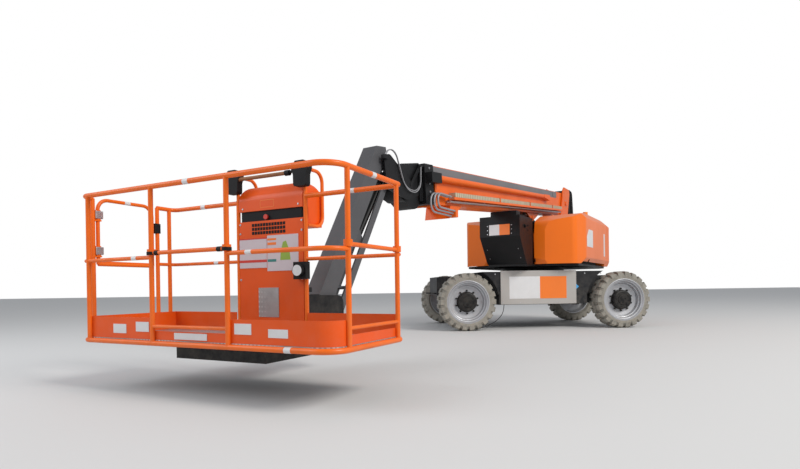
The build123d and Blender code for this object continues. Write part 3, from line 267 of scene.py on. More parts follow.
def finish(name, colour, roughness, metallic=0.0, coat=0.0, dull=0.75, patches=(3.0, 0.3),
           grain=(220.0, 0.06), ripple=0.3, dust=(0.25, 0.3), shine=0.5, scuffs=None, detail=None):
    """A surface with uneven tone, grain, dust and, where given, scuffs in another colour."""
    material, tree, shader, coordinates = start_material(name)
    colour = tuple(colour) + (1.0,)
    tone = place_group(tree, WEATHERING, coordinates, Colour=colour, Dull_Colour=darker(colour, dull),
                       Scale=patches[0], Amount=patches[1])
    settled = place_group(tree, DUST, coordinates, Top=dust[0], Low=dust[1])
    shown = tone.outputs["Colour"]
    if detail:
        shown = detail(tree, coordinates, shown)
    if scuffs:
        marks = place_group(tree, SCUFFS, coordinates, Scale=scuffs[1])
        shown = blend_colours(tree, marks.outputs["Mask"], shown, scuffs[0])
    shown = blend_colours(tree, settled.outputs["Mask"], shown, DUST_COLOUR)
    link(tree, shown, shader.inputs["Base Color"])
    rough = maths(tree, "ADD", maths(tree, "MULTIPLY", settled.outputs["Mask"], 0.5),
                  maths(tree, "ADD", maths(tree, "MULTIPLY", tone.outputs["Mask"], 0.25), roughness))
    link(tree, rough, shader.inputs["Roughness"])
    shader.inputs["Metallic"].default_value = metallic
    shader.inputs["Specular IOR Level"].default_value = shine
    shader.inputs["Coat Weight"].default_value = coat
    shader.inputs["Coat Roughness"].default_value = 0.12
    height = place_group(tree, GRAIN, coordinates, Scale=grain[0], Ripple=ripple)
    raise_surface(tree, height.outputs["Height"], grain[1], shader)
    return material


def rubber_marks(tree, coordinates, shown):
    """Faint dark marks over the rubber."""
    marks = noise(tree, coordinates, 60.0, 3.0, 0.5)
    return blend_colours(tree, spread(tree, marks, 0.5, 0.75, 0.0, 0.25), shown, (0.12, 0.11, 0.095, 1.0))


def chain_link_gap_shade(tree, coordinates, shown):
    """Painted shade in the gaps between the energy chain's links, by the distance along the boom."""
    turned_back = remap(tree, coordinates, Rotation=(0.0, 0.0, -SLEW_TURN),
                        Location=(-PIVOT_X, 0.0, -PIVOT_Z))
    levelled = remap(tree, turned_back, Rotation=(0.0, -BOOM_DROOP, 0.0))
    along = add(tree, "ShaderNodeSeparateXYZ")
    link(tree, levelled, along.inputs[0])
    from_start = maths(tree, "SUBTRACT", along.outputs["X"], CHAIN_START)
    links = maths(tree, "MULTIPLY", from_start, LINKS_PER_METRE)
    run = maths(tree, "FRACT", links, 0.0)
    painted_gap_shade = maths(tree, "MULTIPLY", spread(tree, run, 0.72, 0.80), 0.8)
    return blend_colours(tree, painted_gap_shade, shown, (0.12, 0.095, 0.055, 1.0))


TREAD_TURN = math.radians(12.7)


def chequer_material():
    """Bright tread plate with raised bars that cross."""
    material, tree, shader, coordinates = start_material("tread_plate")
    pattern = remap(tree, coordinates, Rotation=(0.0, 0.0, TREAD_TURN))
    heights = []
    for angle in (45.0, -45.0):
        bars = remap(tree, pattern, Rotation=(0.0, 0.0, math.radians(angle)), Scale=(1.0, 2.6, 1.0))
        cells = add(tree, "ShaderNodeTexVoronoi")
        cells.inputs["Scale"].default_value = 24.0
        cells.inputs["Randomness"].default_value = 0.0
        link(tree, bars, cells.inputs["Vector"])
        heights.append(spread(tree, cells.outputs["Distance"], 0.42, 0.25))
    height = maths(tree, "MAXIMUM", *heights)
    raise_surface(tree, height, 0.8, shader)
    tone = place_group(tree, WEATHERING, coordinates, Colour=(0.46, 0.46, 0.46, 1.0),
                       Dull_Colour=(0.2, 0.19, 0.18, 1.0), Scale=4.0, Amount=0.6)
    worn = blend_colours(tree, height, tone.outputs["Colour"], (0.62, 0.62, 0.62, 1.0))
    link(tree, worn, shader.inputs["Base Color"])
    shader.inputs["Metallic"].default_value = 0.85
    link(tree, maths(tree, "ADD", maths(tree, "MULTIPLY", tone.outputs["Mask"], 0.4), 0.32),
         shader.inputs["Roughness"])
    return material


def vinyl(name, colour, roughness=0.35, dull=0.85, patches=(6.0, 0.3), dust=(0.0, 0.0)):
    """A printed sheet with next to no grain."""
    return finish(name, colour, roughness, dull=dull, patches=patches, grain=(400.0, 0.03), dust=dust)


CHIP = (0.30, 0.09, 0.03, 1.0)
RAIL_CHIP = (0.50, 0.18, 0.06, 1.0)
STEEL_CHIP = (0.33, 0.32, 0.31, 1.0)
BLACK_CHIP = (0.09, 0.09, 0.09, 1.0)
DARK_CHIP = (0.12, 0.12, 0.12, 1.0)
orange = finish("orange_enamel", (0.86, 0.135, 0.004), 0.36, coat=0.1, shine=0.3, dull=0.72,
                patches=(2.2, 0.35), grain=(240.0, 0.05), scuffs=(CHIP, 30.0), dust=(0.10, 0.12))
orange_moulding = finish("orange_moulding", (0.91, 0.175, 0.005), 0.3, coat=0.2, shine=0.35, dull=0.8,
                         patches=(1.4, 0.25), grain=(320.0, 0.04), ripple=0.5, dust=(0.2, 0.1))
orange_iron = finish("orange_casting", (0.90, 0.165, 0.005), 0.34, coat=0.15, shine=0.35, dull=0.78,
                     patches=(1.6, 0.3), grain=(120.0, 0.1), dust=(0.2, 0.15))
rail_orange = finish("rail_orange", (0.89, 0.150, 0.004), 0.36, coat=0.1, shine=0.35, dull=0.7,
                     patches=(5.0, 0.35), grain=(260.0, 0.05), scuffs=(RAIL_CHIP, 45.0), dust=(0.06, 0.1))
# Deeper orange of the console and toe boards: partly the platform's own redder paint, partly painted shade on
# the console
panel_orange_painted_shade = finish("panel_orange_painted_shade", (0.82, 0.095, 0.004), 0.38, coat=0.08, shine=0.3, dull=0.74,
                      patches=(2.0, 0.35), grain=(240.0, 0.05), scuffs=(CHIP, 34.0), dust=(0.08, 0.08))
beam_grey = finish("beam_grey", (0.085, 0.085, 0.092), 0.42, dull=0.65, patches=(2.0, 0.4),
                   grain=(300.0, 0.08), scuffs=(STEEL_CHIP, 40.0), dust=(0.3, 0.1))
cover_grey = finish("cover_grey", (0.19, 0.19, 0.2), 0.4, metallic=0.2, dull=0.7, patches=(1.6, 0.4),
                    grain=(300.0, 0.08), dust=(0.3, 0.1))
black = finish("black_enamel", (0.007, 0.007, 0.008), 0.42, shine=0.25, dull=2.2, patches=(4.0, 0.4),
               grain=(180.0, 0.1), scuffs=(BLACK_CHIP, 35.0), dust=(0.16, 0.14))
chassis_dark = finish("chassis_dark", (0.014, 0.015, 0.018), 0.44, shine=0.25, dull=2.0,
                      patches=(3.0, 0.4), grain=(160.0, 0.1), scuffs=(DARK_CHIP, 30.0), dust=(0.2, 0.25))
panel_grey = finish("panel_grey", (0.44, 0.42, 0.40), 0.42, dull=0.82, patches=(1.8, 0.35),
                    grain=(240.0, 0.05), dust=(0.2, 0.3))
tyre_rubber = finish("tyre_rubber", (0.30, 0.285, 0.25), 0.85, dull=0.6, patches=(11.0, 0.7),
                     grain=(150.0, 0.35), dust=(0.3, 0.7), detail=rubber_marks)
rim_silver = finish("rim_silver", (0.48, 0.49, 0.52), 0.36, metallic=0.4, dull=0.7, patches=(9.0, 0.4),
                    grain=(200.0, 0.06), dust=(0.2, 0.25))
# The chain's links get painted shade in the gaps between them
chain_beige = finish("chain_plastic", (0.52, 0.46, 0.33), 0.6, dull=0.7, patches=(14.0, 0.5),
                     grain=(260.0, 0.15), dust=(0.4, 0.1), detail=chain_link_gap_shade)
bright_steel = finish("zinc_pipe", (0.55, 0.55, 0.57), 0.3, metallic=0.9, dull=0.7, patches=(12.0, 0.4),
                      grain=(300.0, 0.08), dust=(0.15, 0.1))
chrome = finish("chrome_rod", (0.72, 0.72, 0.74), 0.1, metallic=1.0, dull=0.85, patches=(10.0, 0.25),
                grain=(500.0, 0.02), dust=(0.05, 0.0))
plastic_black = finish("black_moulding", (0.008, 0.008, 0.009), 0.55, shine=0.2, dull=2.0,
                       patches=(8.0, 0.3), grain=(420.0, 0.25), dust=(0.12, 0.08))
hose_black = finish("hose_rubber", (0.010, 0.010, 0.011), 0.55, shine=0.25, dull=2.2,
                    patches=(20.0, 0.4), grain=(700.0, 0.3), dust=(0.2, 0.1))
hose_silver = finish("hose_sleeve", (0.36, 0.36, 0.38), 0.45, metallic=0.3, dull=0.6,
                     patches=(30.0, 0.5), grain=(600.0, 0.4), dust=(0.1, 0.0))
amber = finish("amber_lens", (0.95, 0.28, 0.02), 0.12, coat=0.8, dull=0.8, patches=(20.0, 0.3),
               grain=(90.0, 0.2))
pack_dark = finish("pack_dark", (0.03, 0.03, 0.032), 0.6, dull=1.8, patches=(6.0, 0.5),
                   grain=(140.0, 0.3))
white_vinyl = vinyl("white_vinyl", (0.72, 0.72, 0.73), dust=(0.1, 0.15))
silver_vinyl = vinyl("silver_vinyl", (0.62, 0.55, 0.58), 0.4, 0.88, (5.0, 0.3))
orange_vinyl = vinyl("orange_vinyl", (0.90, 0.20, 0.02), 0.35, 0.88, (5.0, 0.3))
blue_vinyl = vinyl("blue_vinyl", (0.03, 0.35, 0.75), dust=(0.25, 0.3))
sleeve_tan = finish("sleeve_tan", (0.30, 0.12, 0.045), 0.6, dull=0.6, patches=(14.0, 0.5),
                    grain=(300.0, 0.3), dust=(0.1, 0.0))
green_vinyl = vinyl("green_vinyl", (0.28, 0.42, 0.05), 0.4)
teal_vinyl = vinyl("teal_vinyl", (0.03, 0.22, 0.20), 0.4)
red_plastic = finish("red_plastic", (0.62, 0.03, 0.015), 0.35, coat=0.3, dull=0.7, patches=(8.0, 0.3),
                     grain=(400.0, 0.1), dust=(0.1, 0.0))
lens_glass = finish("lamp_glass", (0.75, 0.78, 0.8), 0.1, coat=0.8, dull=0.7, patches=(30.0, 0.3),
                    grain=(60.0, 0.4), dust=(0.1, 0.0))
tread_plate = chequer_material()

# Finish of each CAD node, by the start of its name; the longest start that fits counts
DRESS = {
    "tyre_": tyre_rubber, "rim_": rim_silver, "axle_": black, "knuckle_": black, "steer_rod": bright_steel,
    "chassis_frame": chassis_dark, "side_panels": panel_grey, "slew_ring": black, "earth_strap": hose_black,
    "turntable_base": black, "boom_posts": orange, "front_block": black, "counterweight": orange_iron,
    "power_packs": pack_dark, "hose_cap": plastic_black, "mast_hoses": hose_black,
    "hood_": orange_moulding, "hood_stands": black, "beacon": amber,
    "boom_lower": orange, "boom_upper": cover_grey, "chain_tray": orange, "energy_chain": chain_beige,
    "boom_pipes": bright_steel, "boom_guard": orange, "nose_hoses": hose_silver, "boom_mid": black,
    "push_tube": orange, "boom_fly": beam_grey, "fly_head": black, "lift_barrel": black, "lift_rod": chrome,
    "level_bracket": black, "jib_hoses": hose_silver, "jib_beam": beam_grey, "jib_link": beam_grey,
    "jib_barrel": black, "jib_rod": chrome, "end_bracket": black,
    "platform_support": black, "platform_rails": rail_orange, "platform_floor": tread_plate,
    "toe_boards": panel_orange_painted_shade, "console_guard": rail_orange, "console": panel_orange_painted_shade,
    "control_face": plastic_black, "crush_bar": plastic_black, "work_lamp": plastic_black,
    "side_gate": rail_orange, "drop_bar_": rail_orange,
}
for name, node in nodes.items():
    start = max((key for key in DRESS if name.startswith(key)), key=len)
    if not node.material_slots:
        node.data.materials.append(None)
    for slot in node.material_slots:
        slot.material = DRESS[start]


# Pieces
def keep(name, shape, material, body, place=CHASSIS):
    """Turn a bmesh into a piece that rides on a body."""
    shape.transform(place)
    mesh = bpy.data.meshes.new(name)
    bmesh.ops.recalc_face_normals(shape, faces=shape.faces)
    shape.to_mesh(mesh)
    shape.free()
    piece = bpy.data.objects.new(name, mesh)
    scene.collection.objects.link(piece)
    mesh.materials.append(material)
    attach(piece, body)


def slab(shape, low, high, width, segments=2):
    """Add a box from low to high with its edges bevelled by a width."""
    size = [b - a for a, b in zip(low, high)]
    middle = [(a + b) / 2 for a, b in zip(low, high)]
    place = Matrix.Translation(middle) @ Matrix.Diagonal((*size, 1.0))
    made = bmesh.ops.create_cube(shape, size=1.0, matrix=place)
    edges = {edge for vert in made["verts"] for edge in vert.link_edges}
    bmesh.ops.bevel(shape, geom=list(edges), offset=width, offset_type="OFFSET", affect="EDGES",
                    segments=segments, profile=0.5, material=-1)


def bar(shape, start, end, radius, sides):
    """Add a closed round bar between two points."""
    start, end = Vector(start), Vector(end)
    along = end - start
    place = Matrix.Translation((start + end) / 2) @ along.to_track_quat("Z", "Y").to_matrix().to_4x4()
    bmesh.ops.create_cone(shape, cap_ends=True, segments=sides, radius1=radius, radius2=radius,
                          depth=along.length, matrix=place)


def bolt(shape, spot, normal, radius, height):
    """Add a hexagon head on a washer."""
    spot, normal = Vector(spot), Vector(normal).normalized()
    bar(shape, spot, spot + normal * height * 0.35, radius * 1.35, 16)
    bar(shape, spot + normal * height * 0.3, spot + normal * height, radius, 6)


def flat_plate(shape, corners, y, depth):
    """Add an upright plate: corners (x, z) at y, thick by the signed depth."""
    face = shape.faces.new([shape.verts.new((x, y, z)) for x, z in corners])
    made = bmesh.ops.extrude_face_region(shape, geom=[face])
    moved = [item for item in made["geom"] if isinstance(item, bmesh.types.BMVert)]
    bmesh.ops.translate(shape, verts=moved, vec=(0, depth, 0))


def turned(shape, profile, steps, closed=False):
    """Add a form turned round the y axis from a profile of (radius, y)."""
    verts = [shape.verts.new((r, y, 0)) for r, y in profile]
    ends = verts[1:] + verts[:1] if closed else verts[1:]
    edges = [shape.edges.new(pair) for pair in zip(verts, ends)]
    bmesh.ops.spin(shape, geom=verts + edges, cent=(0, 0, 0), axis=(0, 1, 0), angle=2 * math.pi, steps=steps,
                   use_merge=True)
    bmesh.ops.remove_doubles(shape, verts=shape.verts, dist=1e-5)


BEAD_HALF = 0.004


def bead(radius, low, high, half_top):
    """Profile of a low raised ring."""
    return [(radius - BEAD_HALF, low), (radius - half_top, high), (radius + half_top, high),
            (radius + BEAD_HALF, low)]


def layer(face, side, rise, start=-SINK):
    """Low and high coordinate of a form that lies on one side of a face, from start to rise off it."""
    return sorted((face + side * start, face + side * rise))


# Earth strap
strap_curve = bpy.data.curves.new("earth_strap_line", "CURVE")
strap_curve.dimensions = "3D"
strap_points = ((-0.885, -1.0, 0.43925), (-0.890, -1.0, 0.350), (-0.925, -1.0, 0.262), (-0.990, -1.0, 0.185),
                (-1.080, -1.0, 0.122), (-1.180, -1.0, 0.074), (-1.285, -1.0, 0.038), (-1.390, -1.0, 0.016))
line = strap_curve.splines.new("NURBS")
line.points.add(len(strap_points) - 1)
for point, spot in zip(line.points, strap_points):
    point.co = (*spot, 1.0)
line.order_u = 3
line.use_endpoint_u = True
strap_curve.bevel_depth = 0.006
strap_curve.bevel_resolution = 4
strap_curve.resolution_u = 12
strap_curve.use_fill_caps = True
strap = bpy.data.objects.new("earth_strap_cord", strap_curve)
scene.collection.objects.link(strap)
strap_curve.materials.append(hose_black)
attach(strap, "chassis")
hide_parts("earth_strap")


# Wheels: hub profile as (radius, y), rings of hub bolts as count, first angle in degrees, circle's radius, y,
# head's radius and height, rim beads as (radius, y), tyre rings as radius
HUB_PROFILE = ((0.0, 0.1455), (0.074, 0.1455), (0.0885, 0.1435), (0.0965, 0.1315), (0.1435, 0.1300),
               (0.159, 0.1235), (0.1670, 0.1130), (0.1680, 0.0400), (0.181, 0.0365))
HUB_BOLTS = ((8, 10, 0.118, 0.129, 0.0085, 0.012), (3, 35, 0.045, 0.1475, 0.010, 0.010))
NUT_CIRCLE, NUT_Y, NUT_R, NUT_DEPTH, NUT_RISE = 0.199, 0.061, 0.0165, 0.024, 0.004
RIM_BEADS = ((0.352, 0.152), (0.331, 0.146), (0.372, 0.1745))
WALL_RINGS = (0.405, 0.418)


def round_spots(count, first, radius, y):
    """Evenly spaced spots on a circle round the y axis, from a first angle in degrees."""
    for i in range(count):
        a = math.radians(360 / count * i + first)
        yield Vector((radius * math.cos(a), y, radius * math.sin(a)))


def wheel_dress(name, x, side):
    """Black hub end with bolts, wheel nuts, the rim's beads and the tyre's rings."""
    body = "wheel_" + name
    place = Matrix.Translation((x, side * WHEEL_Y, AXLE_Z))
    if side < 0:
        place = place @ Matrix.Rotation(math.pi, 4, "Z")
    hub = bmesh.new()
    turned(hub, HUB_PROFILE, 48)
    for count, first, circle, y, head, height in HUB_BOLTS:
        for spot in round_spots(count, first, circle, y):
            bolt(hub, spot, (0, 1, 0), head, height)
    keep("hub_cover_" + name, hub, black, body, place)
    nuts = bmesh.new()
    for spot in round_spots(10, 18, NUT_CIRCLE, NUT_Y):
        bar(nuts, spot - Vector((0, NUT_DEPTH, 0)), spot + Vector((0, NUT_RISE, 0)), NUT_R, 6)
    keep("wheel_nuts_" + name, nuts, black, body, place)
    beads = bmesh.new()
    for radius, depth in RIM_BEADS:
        turned(beads, bead(radius, depth - 0.003, depth + 0.0015, 0.0015), 72, True)
    keep("rim_beads_" + name, beads, rim_silver, body, place)
    wall = bmesh.new()
    for radius in WALL_RINGS:
        turned(wall, bead(radius, 0.1745, 0.1768, 0.002), 72, True)
    keep("tyre_rings_" + name, wall, tyre_rubber, body, place)


for axle, axle_x in (("rear", -1.58), ("front", 1.24)):
    wheel_dress(axle + "_right", axle_x, -1)
    wheel_dress(axle + "_left", axle_x, 1)

# Bare plates and coloured marks, all thin slabs: place, body, slot and rows of name, finish, low corner and
# high corner
SIGN_LOW, SIGN_HIGH = 0.545, 0.940
SIGN_RISE, PLATE_RISE = 0.0028, 0.0035
RIGHT_SIGN, LEFT_SIGN = layer(-SIGN_FACE, -1, SIGN_RISE), layer(SIGN_FACE, 1, SIGN_RISE)
FRONT_SIGN = layer(BLOCK_FACE, 1, SIGN_RISE)
TOE_PLATE = layer(TOE_FACE, -1, PLATE_RISE)
PLATE = layer(PANEL_FACE, -1, PLATE_RISE)
BAND = layer(PANEL_FACE, -1, 0.0045, 0.0032)
TREAD = layer(PANEL_FACE, -1, 0.0040)
OUTLINE, OUTLINE_SIDE = layer(HOOD_FACE, -1, 0.0015), layer(HOOD_FACE, -1, 0.0013)


def side_mark(name, material, y, x0, x1, z0, z1):
    """A row for a mark on an upright face across y, with the ends of its extent."""
    return name, material, (x0, y[0], z0), (x1, y[1], z1)


MARKS = (
    (CHASSIS, "chassis", "panel_paint", (
        side_mark("side_sign_white_right", white_vinyl, RIGHT_SIGN, -0.80, -0.240, SIGN_LOW, SIGN_HIGH),
        side_mark("side_sign_orange_right", orange_vinyl, RIGHT_SIGN, -0.240, 0.25, SIGN_LOW, SIGN_HIGH),
        side_mark("side_sign_white_left", white_vinyl, LEFT_SIGN, -0.12, 0.42, SIGN_LOW, SIGN_HIGH),
        side_mark("side_sign_orange_left", orange_vinyl, LEFT_SIGN, -0.53, -0.12, SIGN_LOW, SIGN_HIGH),
    )),
    (SLEW, "turntable", "black_paint", (
        ("front_plate_white", white_vinyl, (FRONT_SIGN[0], -0.185, 1.645), (FRONT_SIGN[1], 0.0, 1.825)),
        ("front_plate_orange", orange_vinyl, (FRONT_SIGN[0], 0.0, 1.645), (FRONT_SIGN[1], 0.185, 1.825)),
    )),
    (PLATFORM, "platform", "orange_paint", (
        side_mark("toe_plate_1", white_vinyl, TOE_PLATE, -0.800, -0.650, 0.458, 0.528),
        side_mark("toe_plate_2", white_vinyl, TOE_PLATE, -0.540, -0.396, 0.475, 0.548),
        side_mark("toe_plate_3", white_vinyl, TOE_PLATE, -0.130, 0.192, 0.429, 0.476),
        side_mark("toe_plate_4", white_vinyl, TOE_PLATE, 0.444, 0.590, 0.481, 0.553),
        side_mark("toe_plate_5", white_vinyl, TOE_PLATE, 0.732, 0.890, 0.467, 0.522),
        side_mark("console_plate_left", silver_vinyl, PLATE, -0.333, -0.028, 0.960, 1.210),
        side_mark("console_plate_right", silver_vinyl, PLATE, -0.023, 0.306, 0.930, 1.232),
        side_mark("console_red_band_1", red_plastic, BAND, -0.333, -0.028, 1.206, 1.216),
        side_mark("console_red_band_2", red_plastic, BAND, -0.333, -0.028, 1.008, 1.030),
        side_mark("console_orange_block_1", orange_vinyl, BAND, -0.018, 0.075, 1.190, 1.207),
        side_mark("console_orange_block_2", orange_vinyl, BAND, -0.018, 0.075, 1.150, 1.172),
        side_mark("console_teal_block", teal_vinyl, BAND, -0.018, 0.075, 1.008, 1.030),
    )),
    (PLATFORM, "platform", "floor_aluminium", (
        side_mark("tread_patch", tread_plate, TREAD, -0.124, 0.094, 0.540, 0.790),
    )),
    (PLATFORM, "platform", "orange_paint", (
        side_mark("hood_outline_top", orange_vinyl, OUTLINE, -0.095, 0.057, 1.532, 1.537),
        side_mark("hood_outline_low", orange_vinyl, OUTLINE, -0.095, 0.057, 1.472, 1.477),
        side_mark("hood_outline_left", orange_vinyl, OUTLINE_SIDE, -0.095, -0.090, 1.4765, 1.5325),
        side_mark("hood_outline_right", orange_vinyl, OUTLINE_SIDE, 0.052, 0.057, 1.4765, 1.5325),
    )),
)
MARK_BEVEL = 0.0009
for place, body, slot, rows in MARKS:
    for name, material, low, high in rows:
        shape = bmesh.new()
        slab(shape, low, high, MARK_BEVEL, 1)
        keep(name, shape, material, body, place)

# Rings of pale tape round the rails: name, centre, direction, bar radius, body
TAPES = (
    ("tape_top_front", (0.028, FRONT, TOP_RAIL), (1, 0, 0), TOP_R, "platform"),
    ("tape_mid_front_left", (-0.525, FRONT, MID_RAIL), (1, 0, 0), THIN_R, "platform"),
    ("tape_mid_front_right", (0.591, FRONT, MID_RAIL), (1, 0, 0), THIN_R, "platform"),
    ("tape_gate", (LEFT, -0.748, TOP_RAIL), (0, 1, 0), THIN_R, "gate"),
    ("tape_top_back_left", (-0.774, BACK, TOP_RAIL), (1, 0, 0), TOP_R, "platform"),
    ("tape_top_back_right", (0.822, BACK, TOP_RAIL), (1, 0, 0), TOP_R, "platform"),
    ("tape_mid_back_left", (-0.620, BACK, MID_RAIL), (1, 0, 0), THIN_R, "platform"),
    ("tape_top_right", (RIGHT, -0.671, TOP_RAIL), (0, 1, 0), TOP_R, "platform"),
    ("tape_low_front", (0.9, FRONT, LOW_RAIL), (1, 0, 0), TOP_R, "platform"),
)
TAPE_HALF, TAPE_RISE = 0.026, 0.0007
for name, centre, direction, radius, body in TAPES:
    shape = bmesh.new()
    half = Vector(direction) * TAPE_HALF
    bar(shape, Vector(centre) - half, Vector(centre) + half, radius + TAPE_RISE, 32)
    keep(name, shape, white_vinyl, body, PLATFORM)

# Console: vent slots, button, chart, lamp glass, bar sleeve
VENT_START, VENT_STEP, VENT_SLOT = (-0.190, 1.247), (0.0307, 0.034), (0.0245, 0.026)
vent = bmesh.new()
for row in range(3):
    for column in range(12):
        x, z = VENT_START[0] + column * VENT_STEP[0], VENT_START[1] + row * VENT_STEP[1]
        far_x, far_z = x + VENT_SLOT[0], z + VENT_SLOT[1]
        slab(vent, (x, PANEL_FACE - 0.002, z), (far_x, PANEL_FACE + SINK, far_z), 0.002, 1)
keep("console_vent", vent, plastic_black, "platform", PLATFORM)
BUTTON_X, BUTTON_Z = -0.03, 1.392
button = bmesh.new()
for near, far, radius in ((-0.250, -0.266, 0.016), (-0.264, -0.279, 0.022)):
    bar(button, (BUTTON_X, near, BUTTON_Z), (BUTTON_X, far, BUTTON_Z), radius, 32)
keep("stop_button", button, red_plastic, "platform", PLATFORM)
chart = bmesh.new()
CHART_CORNERS = ((0.118, 1.02), (0.226, 1.02), (0.214, 1.10), (0.180, 1.18), (0.148, 1.17), (0.124, 1.09))
flat_plate(chart, CHART_CORNERS, -0.2703, -0.0012)
keep("console_chart", chart, green_vinyl, "platform", PLATFORM)
rivets = bmesh.new()
for x in (-0.322, 0.342):
    for z in (0.50, 0.86, 1.26, 1.34):
        bolt(rivets, (x, PANEL_FACE - CLEAR, z), (0, -1, 0), 0.007, 0.006)
for x in (-0.29, 0.31):
    bolt(rivets, (x, HOOD_FACE - CLEAR, 1.475), (0, -1, 0), 0.006, 0.005)
keep("console_bolts", rivets, bright_steel, "platform", PLATFORM)
LAMP_X, LAMP_Z = 0.360, 0.925
lens = bmesh.new()
bar(lens, (LAMP_X, -0.3602, LAMP_Z), (LAMP_X, -0.364, LAMP_Z), 0.044, 32)
keep("work_lamp_lens", lens, lens_glass, "platform", PLATFORM)
CRUSH_Y, CRUSH_Z = BACK - 0.056, 1.727
sleeve = bmesh.new()
bar(sleeve, (-0.290, CRUSH_Y, CRUSH_Z), (0.215, CRUSH_Y, CRUSH_Z), 0.0157, 32)
keep("crush_bar_sleeve", sleeve, sleeve_tan, "platform", PLATFORM)

# Gate: hinge plates, latch and its knob
hinge = bmesh.new()
for z in (1.07, 1.365):
    slab(hinge, (LEFT - 0.026, FRONT + 0.104, z + 0.008), (LEFT + 0.026, FRONT + 0.168, z + 0.072), 0.004)
keep("gate_hinge_plates", hinge, bright_steel, "gate", PLATFORM)
latch = bmesh.new()
slab(latch, (LEFT - 0.022, -0.487, 1.300), (LEFT + 0.022, -0.425, 1.390), 0.006)
keep("gate_latch", latch, plastic_black, "platform", PLATFORM)
knob = bmesh.new()
slab(knob, (LEFT - 0.034, -0.478, 1.335), (LEFT - 0.020, -0.434, 1.357), 0.004)
keep("gate_latch_knob", knob, red_plastic, "platform", PLATFORM)

# Front drop bar: rubber boots over its rings and ends
DROP_Z = 1.0513
boots = bmesh.new()
for x in (-0.343, 0.397):
    bar(boots, (x, FRONT, 1.0355), (x, FRONT, 1.060), 0.0325, 32)
for x in (-0.30, 0.316):
    bar(boots, (x, FRONT, DROP_Z), (x + 0.038, FRONT, DROP_Z), 0.0175, 24)
keep("drop_bar_boots", boots, plastic_black, "bar_front", PLATFORM)

# Turntable: bolts, side fittings, black strips of painted shade at the covers' inner front edges, latches and
# marks
front_bolts = bmesh.new()
for y in (-0.215, 0.215):
    for z in (1.665, 1.735, 1.805):
        bolt(front_bolts, (BLOCK_FACE + CLEAR, y, z), (1, 0, 0), 0.006, 0.005)
for y in (-0.28, 0.28):
    for x, z in ((1.62, 1.43), (1.50, 1.28)):
        bolt(front_bolts, (x - 0.012, y, z - 0.02), (0.808, 0, -0.589), 0.006, 0.005)
keep("front_block_bolts", front_bolts, bright_steel, "turntable", SLEW)
CHEEK_X, CHEEK_Z = 1.50, 1.80
cheek = bmesh.new()
for near, far, radius, sides in ((CLEAR, 0.014, 0.033, 32), (0.012, 0.026, 0.019, 24)):
    bar(cheek, (CHEEK_X, CHEEK_FACE + near, CHEEK_Z), (CHEEK_X, CHEEK_FACE + far, CHEEK_Z), radius, sides)
bolt(cheek, (1.34, CHEEK_FACE + CLEAR, 1.82), (0, 1, 0), 0.011, 0.012)
bolt(cheek, (1.34, CHEEK_FACE + CLEAR, 1.74), (0, 1, 0), 0.008, 0.010)
keep("cheek_fittings", cheek, plastic_black, "turntable", SLEW)
LATCH_X, LATCH_Y, LATCH_Z, LATCH_OUT = 0.20, 1.1200, 1.2150, (0.8779, -0.4789)
HOOD_MARK_CORNERS = ((-0.05, 1.470), (0.43, 1.470), (0.43, 1.650), (0.29, 1.790), (-0.05, 1.790))
for side, body, label in ((1, "hood_l", "left"), (-1, "hood_r", "right")):
    # A black strip along the hood's inner front edge, in the gap beside the front block's cheek: painted
    # shade of that gap
    gap_shade_strip = bmesh.new()
    low_y, high_y = layer(0, side, 0.392, 0.3725)
    slab(gap_shade_strip, (1.0105, low_y, 1.19), (1.0285, high_y, 1.69), 0.006, 3)
    keep("hood_gap_shade_" + label, gap_shade_strip, plastic_black, body, SLEW)
    latch = bmesh.new()
    out = Vector((0, side * LATCH_OUT[0], LATCH_OUT[1]))
    spot = Vector((LATCH_X, side * LATCH_Y, LATCH_Z))
    bar(latch, spot - out * 0.004, spot + out * 0.005, 0.034, 32)
    bar(latch, spot + out * 0.004, spot + out * 0.009, 0.014, 24)
    keep("hood_latch_" + label, latch, plastic_black, body, SLEW)
    decal = bmesh.new()
    flat_plate(decal, HOOD_MARK_CORNERS, side * (COVER_FACE - 0.0015), side * 0.0030)
    keep("hood_mark_" + label, decal, white_vinyl, body, SLEW)
    strip = bmesh.new()
    low_y, high_y = layer(side * COVER_FACE, side, 0.0012, -0.0010)
    slab(strip, (-1.150, low_y, 1.350), (-1.040, high_y, 1.810), 0.0006, 1)
    keep("hood_strip_" + label, strip, white_vinyl, body, SLEW)

# Chassis: arrow, bolts
arrow = bmesh.new()
ARROW_CORNERS = ((0.425, 0.690), (0.490, 0.750), (0.425, 0.810), (0.425, 0.785), (0.400, 0.785),
                 (0.400, 0.715), (0.425, 0.715))
flat_plate(arrow, ARROW_CORNERS, -SPINE_FACE + SINK, -0.0025)
keep("steer_arrow", arrow, blue_vinyl, "chassis")
chassis_bolts = bmesh.new()
for side in (-1, 1):
    for x in (-0.92, -0.60, 0.08, 0.40):
        for z in (0.475, 1.017):
            bolt(chassis_bolts, (x, side * (SIGN_FACE + CLEAR), z), (0, side, 0), 0.007, 0.0055)
    for x in (0.60, 0.90, -1.05):
        bolt(chassis_bolts, (x, side * (SPINE_FACE + CLEAR), 0.985), (0, side, 0), 0.009, 0.008)
keep("chassis_bolts", chassis_bolts, bright_steel, "chassis")

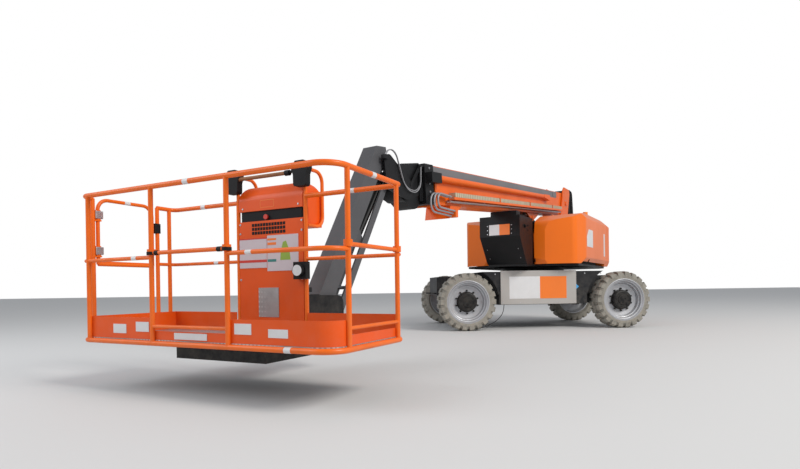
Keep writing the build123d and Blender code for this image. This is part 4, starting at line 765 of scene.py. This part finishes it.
# Boom: top edges, collar bolts, bolts round the mast's pivot
EDGE_START, EDGE_END = 0.66, 6.185
edge = bmesh.new()
for side in (-1, 1):
    low_y, high_y = layer(0, side, 0.1708, 0.152)
    slab(edge, (EDGE_START, low_y, 0.2235), (EDGE_END, high_y, 0.2325), 0.003)
keep("boom_top_edges", edge, orange, "boom", BOOM)
COLLAR_X, COLLAR_SIDE = 6.32, 0.1782
collar_bolts = bmesh.new()
for z in (-0.20, -0.10, 0.0, 0.10, 0.19):
    for side in (-1, 1):
        bolt(collar_bolts, (COLLAR_X, side * COLLAR_SIDE, z), (0, side, 0), 0.011, 0.010)
keep("collar_bolts", collar_bolts, bright_steel, "mid", BOOM)
MAST_SIDE, MAST_BOLTS_R = 0.2072, 0.075
mast_bolts = bmesh.new()
for side in (-1, 1):
    for spot in round_spots(6, 0, MAST_BOLTS_R, side * MAST_SIDE):
        bolt(mast_bolts, spot + Vector((PIVOT_X, 0, PIVOT_Z)), (0, side, 0), 0.008, 0.008)
keep("mast_bolts", mast_bolts, bright_steel, "turntable", SLEW)

# Floor, background, lamps
floor = bmesh.new()
bmesh.ops.create_grid(floor, x_segments=2, y_segments=2, size=60)
floor_mesh = bpy.data.meshes.new("floor")
floor.to_mesh(floor_mesh)
floor.free()
ground = bpy.data.objects.new("floor", floor_mesh)
ground.location.z = -0.0005
scene.collection.objects.link(ground)
pale, _, shader, _ = start_material("pale_floor")
shader.inputs["Base Color"].default_value = (0.66, 0.66, 0.66, 1.0)
shader.inputs["Roughness"].default_value = 0.9
floor_mesh.materials.append(pale)


def background(tree, colour, strength):
    node = add(tree, "ShaderNodeBackground")
    node.inputs["Color"].default_value = colour
    node.inputs["Strength"].default_value = strength
    return node.outputs[0]


# The background looks white, and lights the scene with a softer, slightly blue tone
world = bpy.data.worlds.new("studio")
scene.world = world
world.use_nodes = True
tree = world.node_tree
tree.nodes.clear()
output = add(tree, "ShaderNodeOutputWorld")
lit = background(tree, (0.93, 0.96, 1.0, 1.0), 0.50)
seen = background(tree, (1.0, 1.0, 1.0, 1.0), 1.0)
rays = add(tree, "ShaderNodeLightPath")
choose = add(tree, "ShaderNodeMixShader")
for source, target in zip((rays.outputs["Is Camera Ray"], lit, seen), choose.inputs):
    link(tree, source, target)
link(tree, choose.outputs[0], output.inputs[0])


def lamp(name, place, target, size, power, colour):
    """A square soft light that points from its place to a target."""
    data = bpy.data.lights.new(name, "AREA")
    data.shape = "SQUARE"
    data.size = size
    data.energy = power
    data.color = colour
    light = bpy.data.objects.new(name, data)
    light.location = place
    light.rotation_euler = (Vector(target) - Vector(place)).to_track_quat("-Z", "Y").to_euler()
    scene.collection.objects.link(light)


lamp("key_light", (9.0, -15.0, 13.0), (-1.5, -2.5, 1.0), 7.0, 2700.0, (1.0, 0.97, 0.92))
lamp("fill_light", (-12.0, -7.0, 6.0), (-2.0, -2.0, 1.2), 6.0, 330.0, (0.95, 0.97, 1.0))
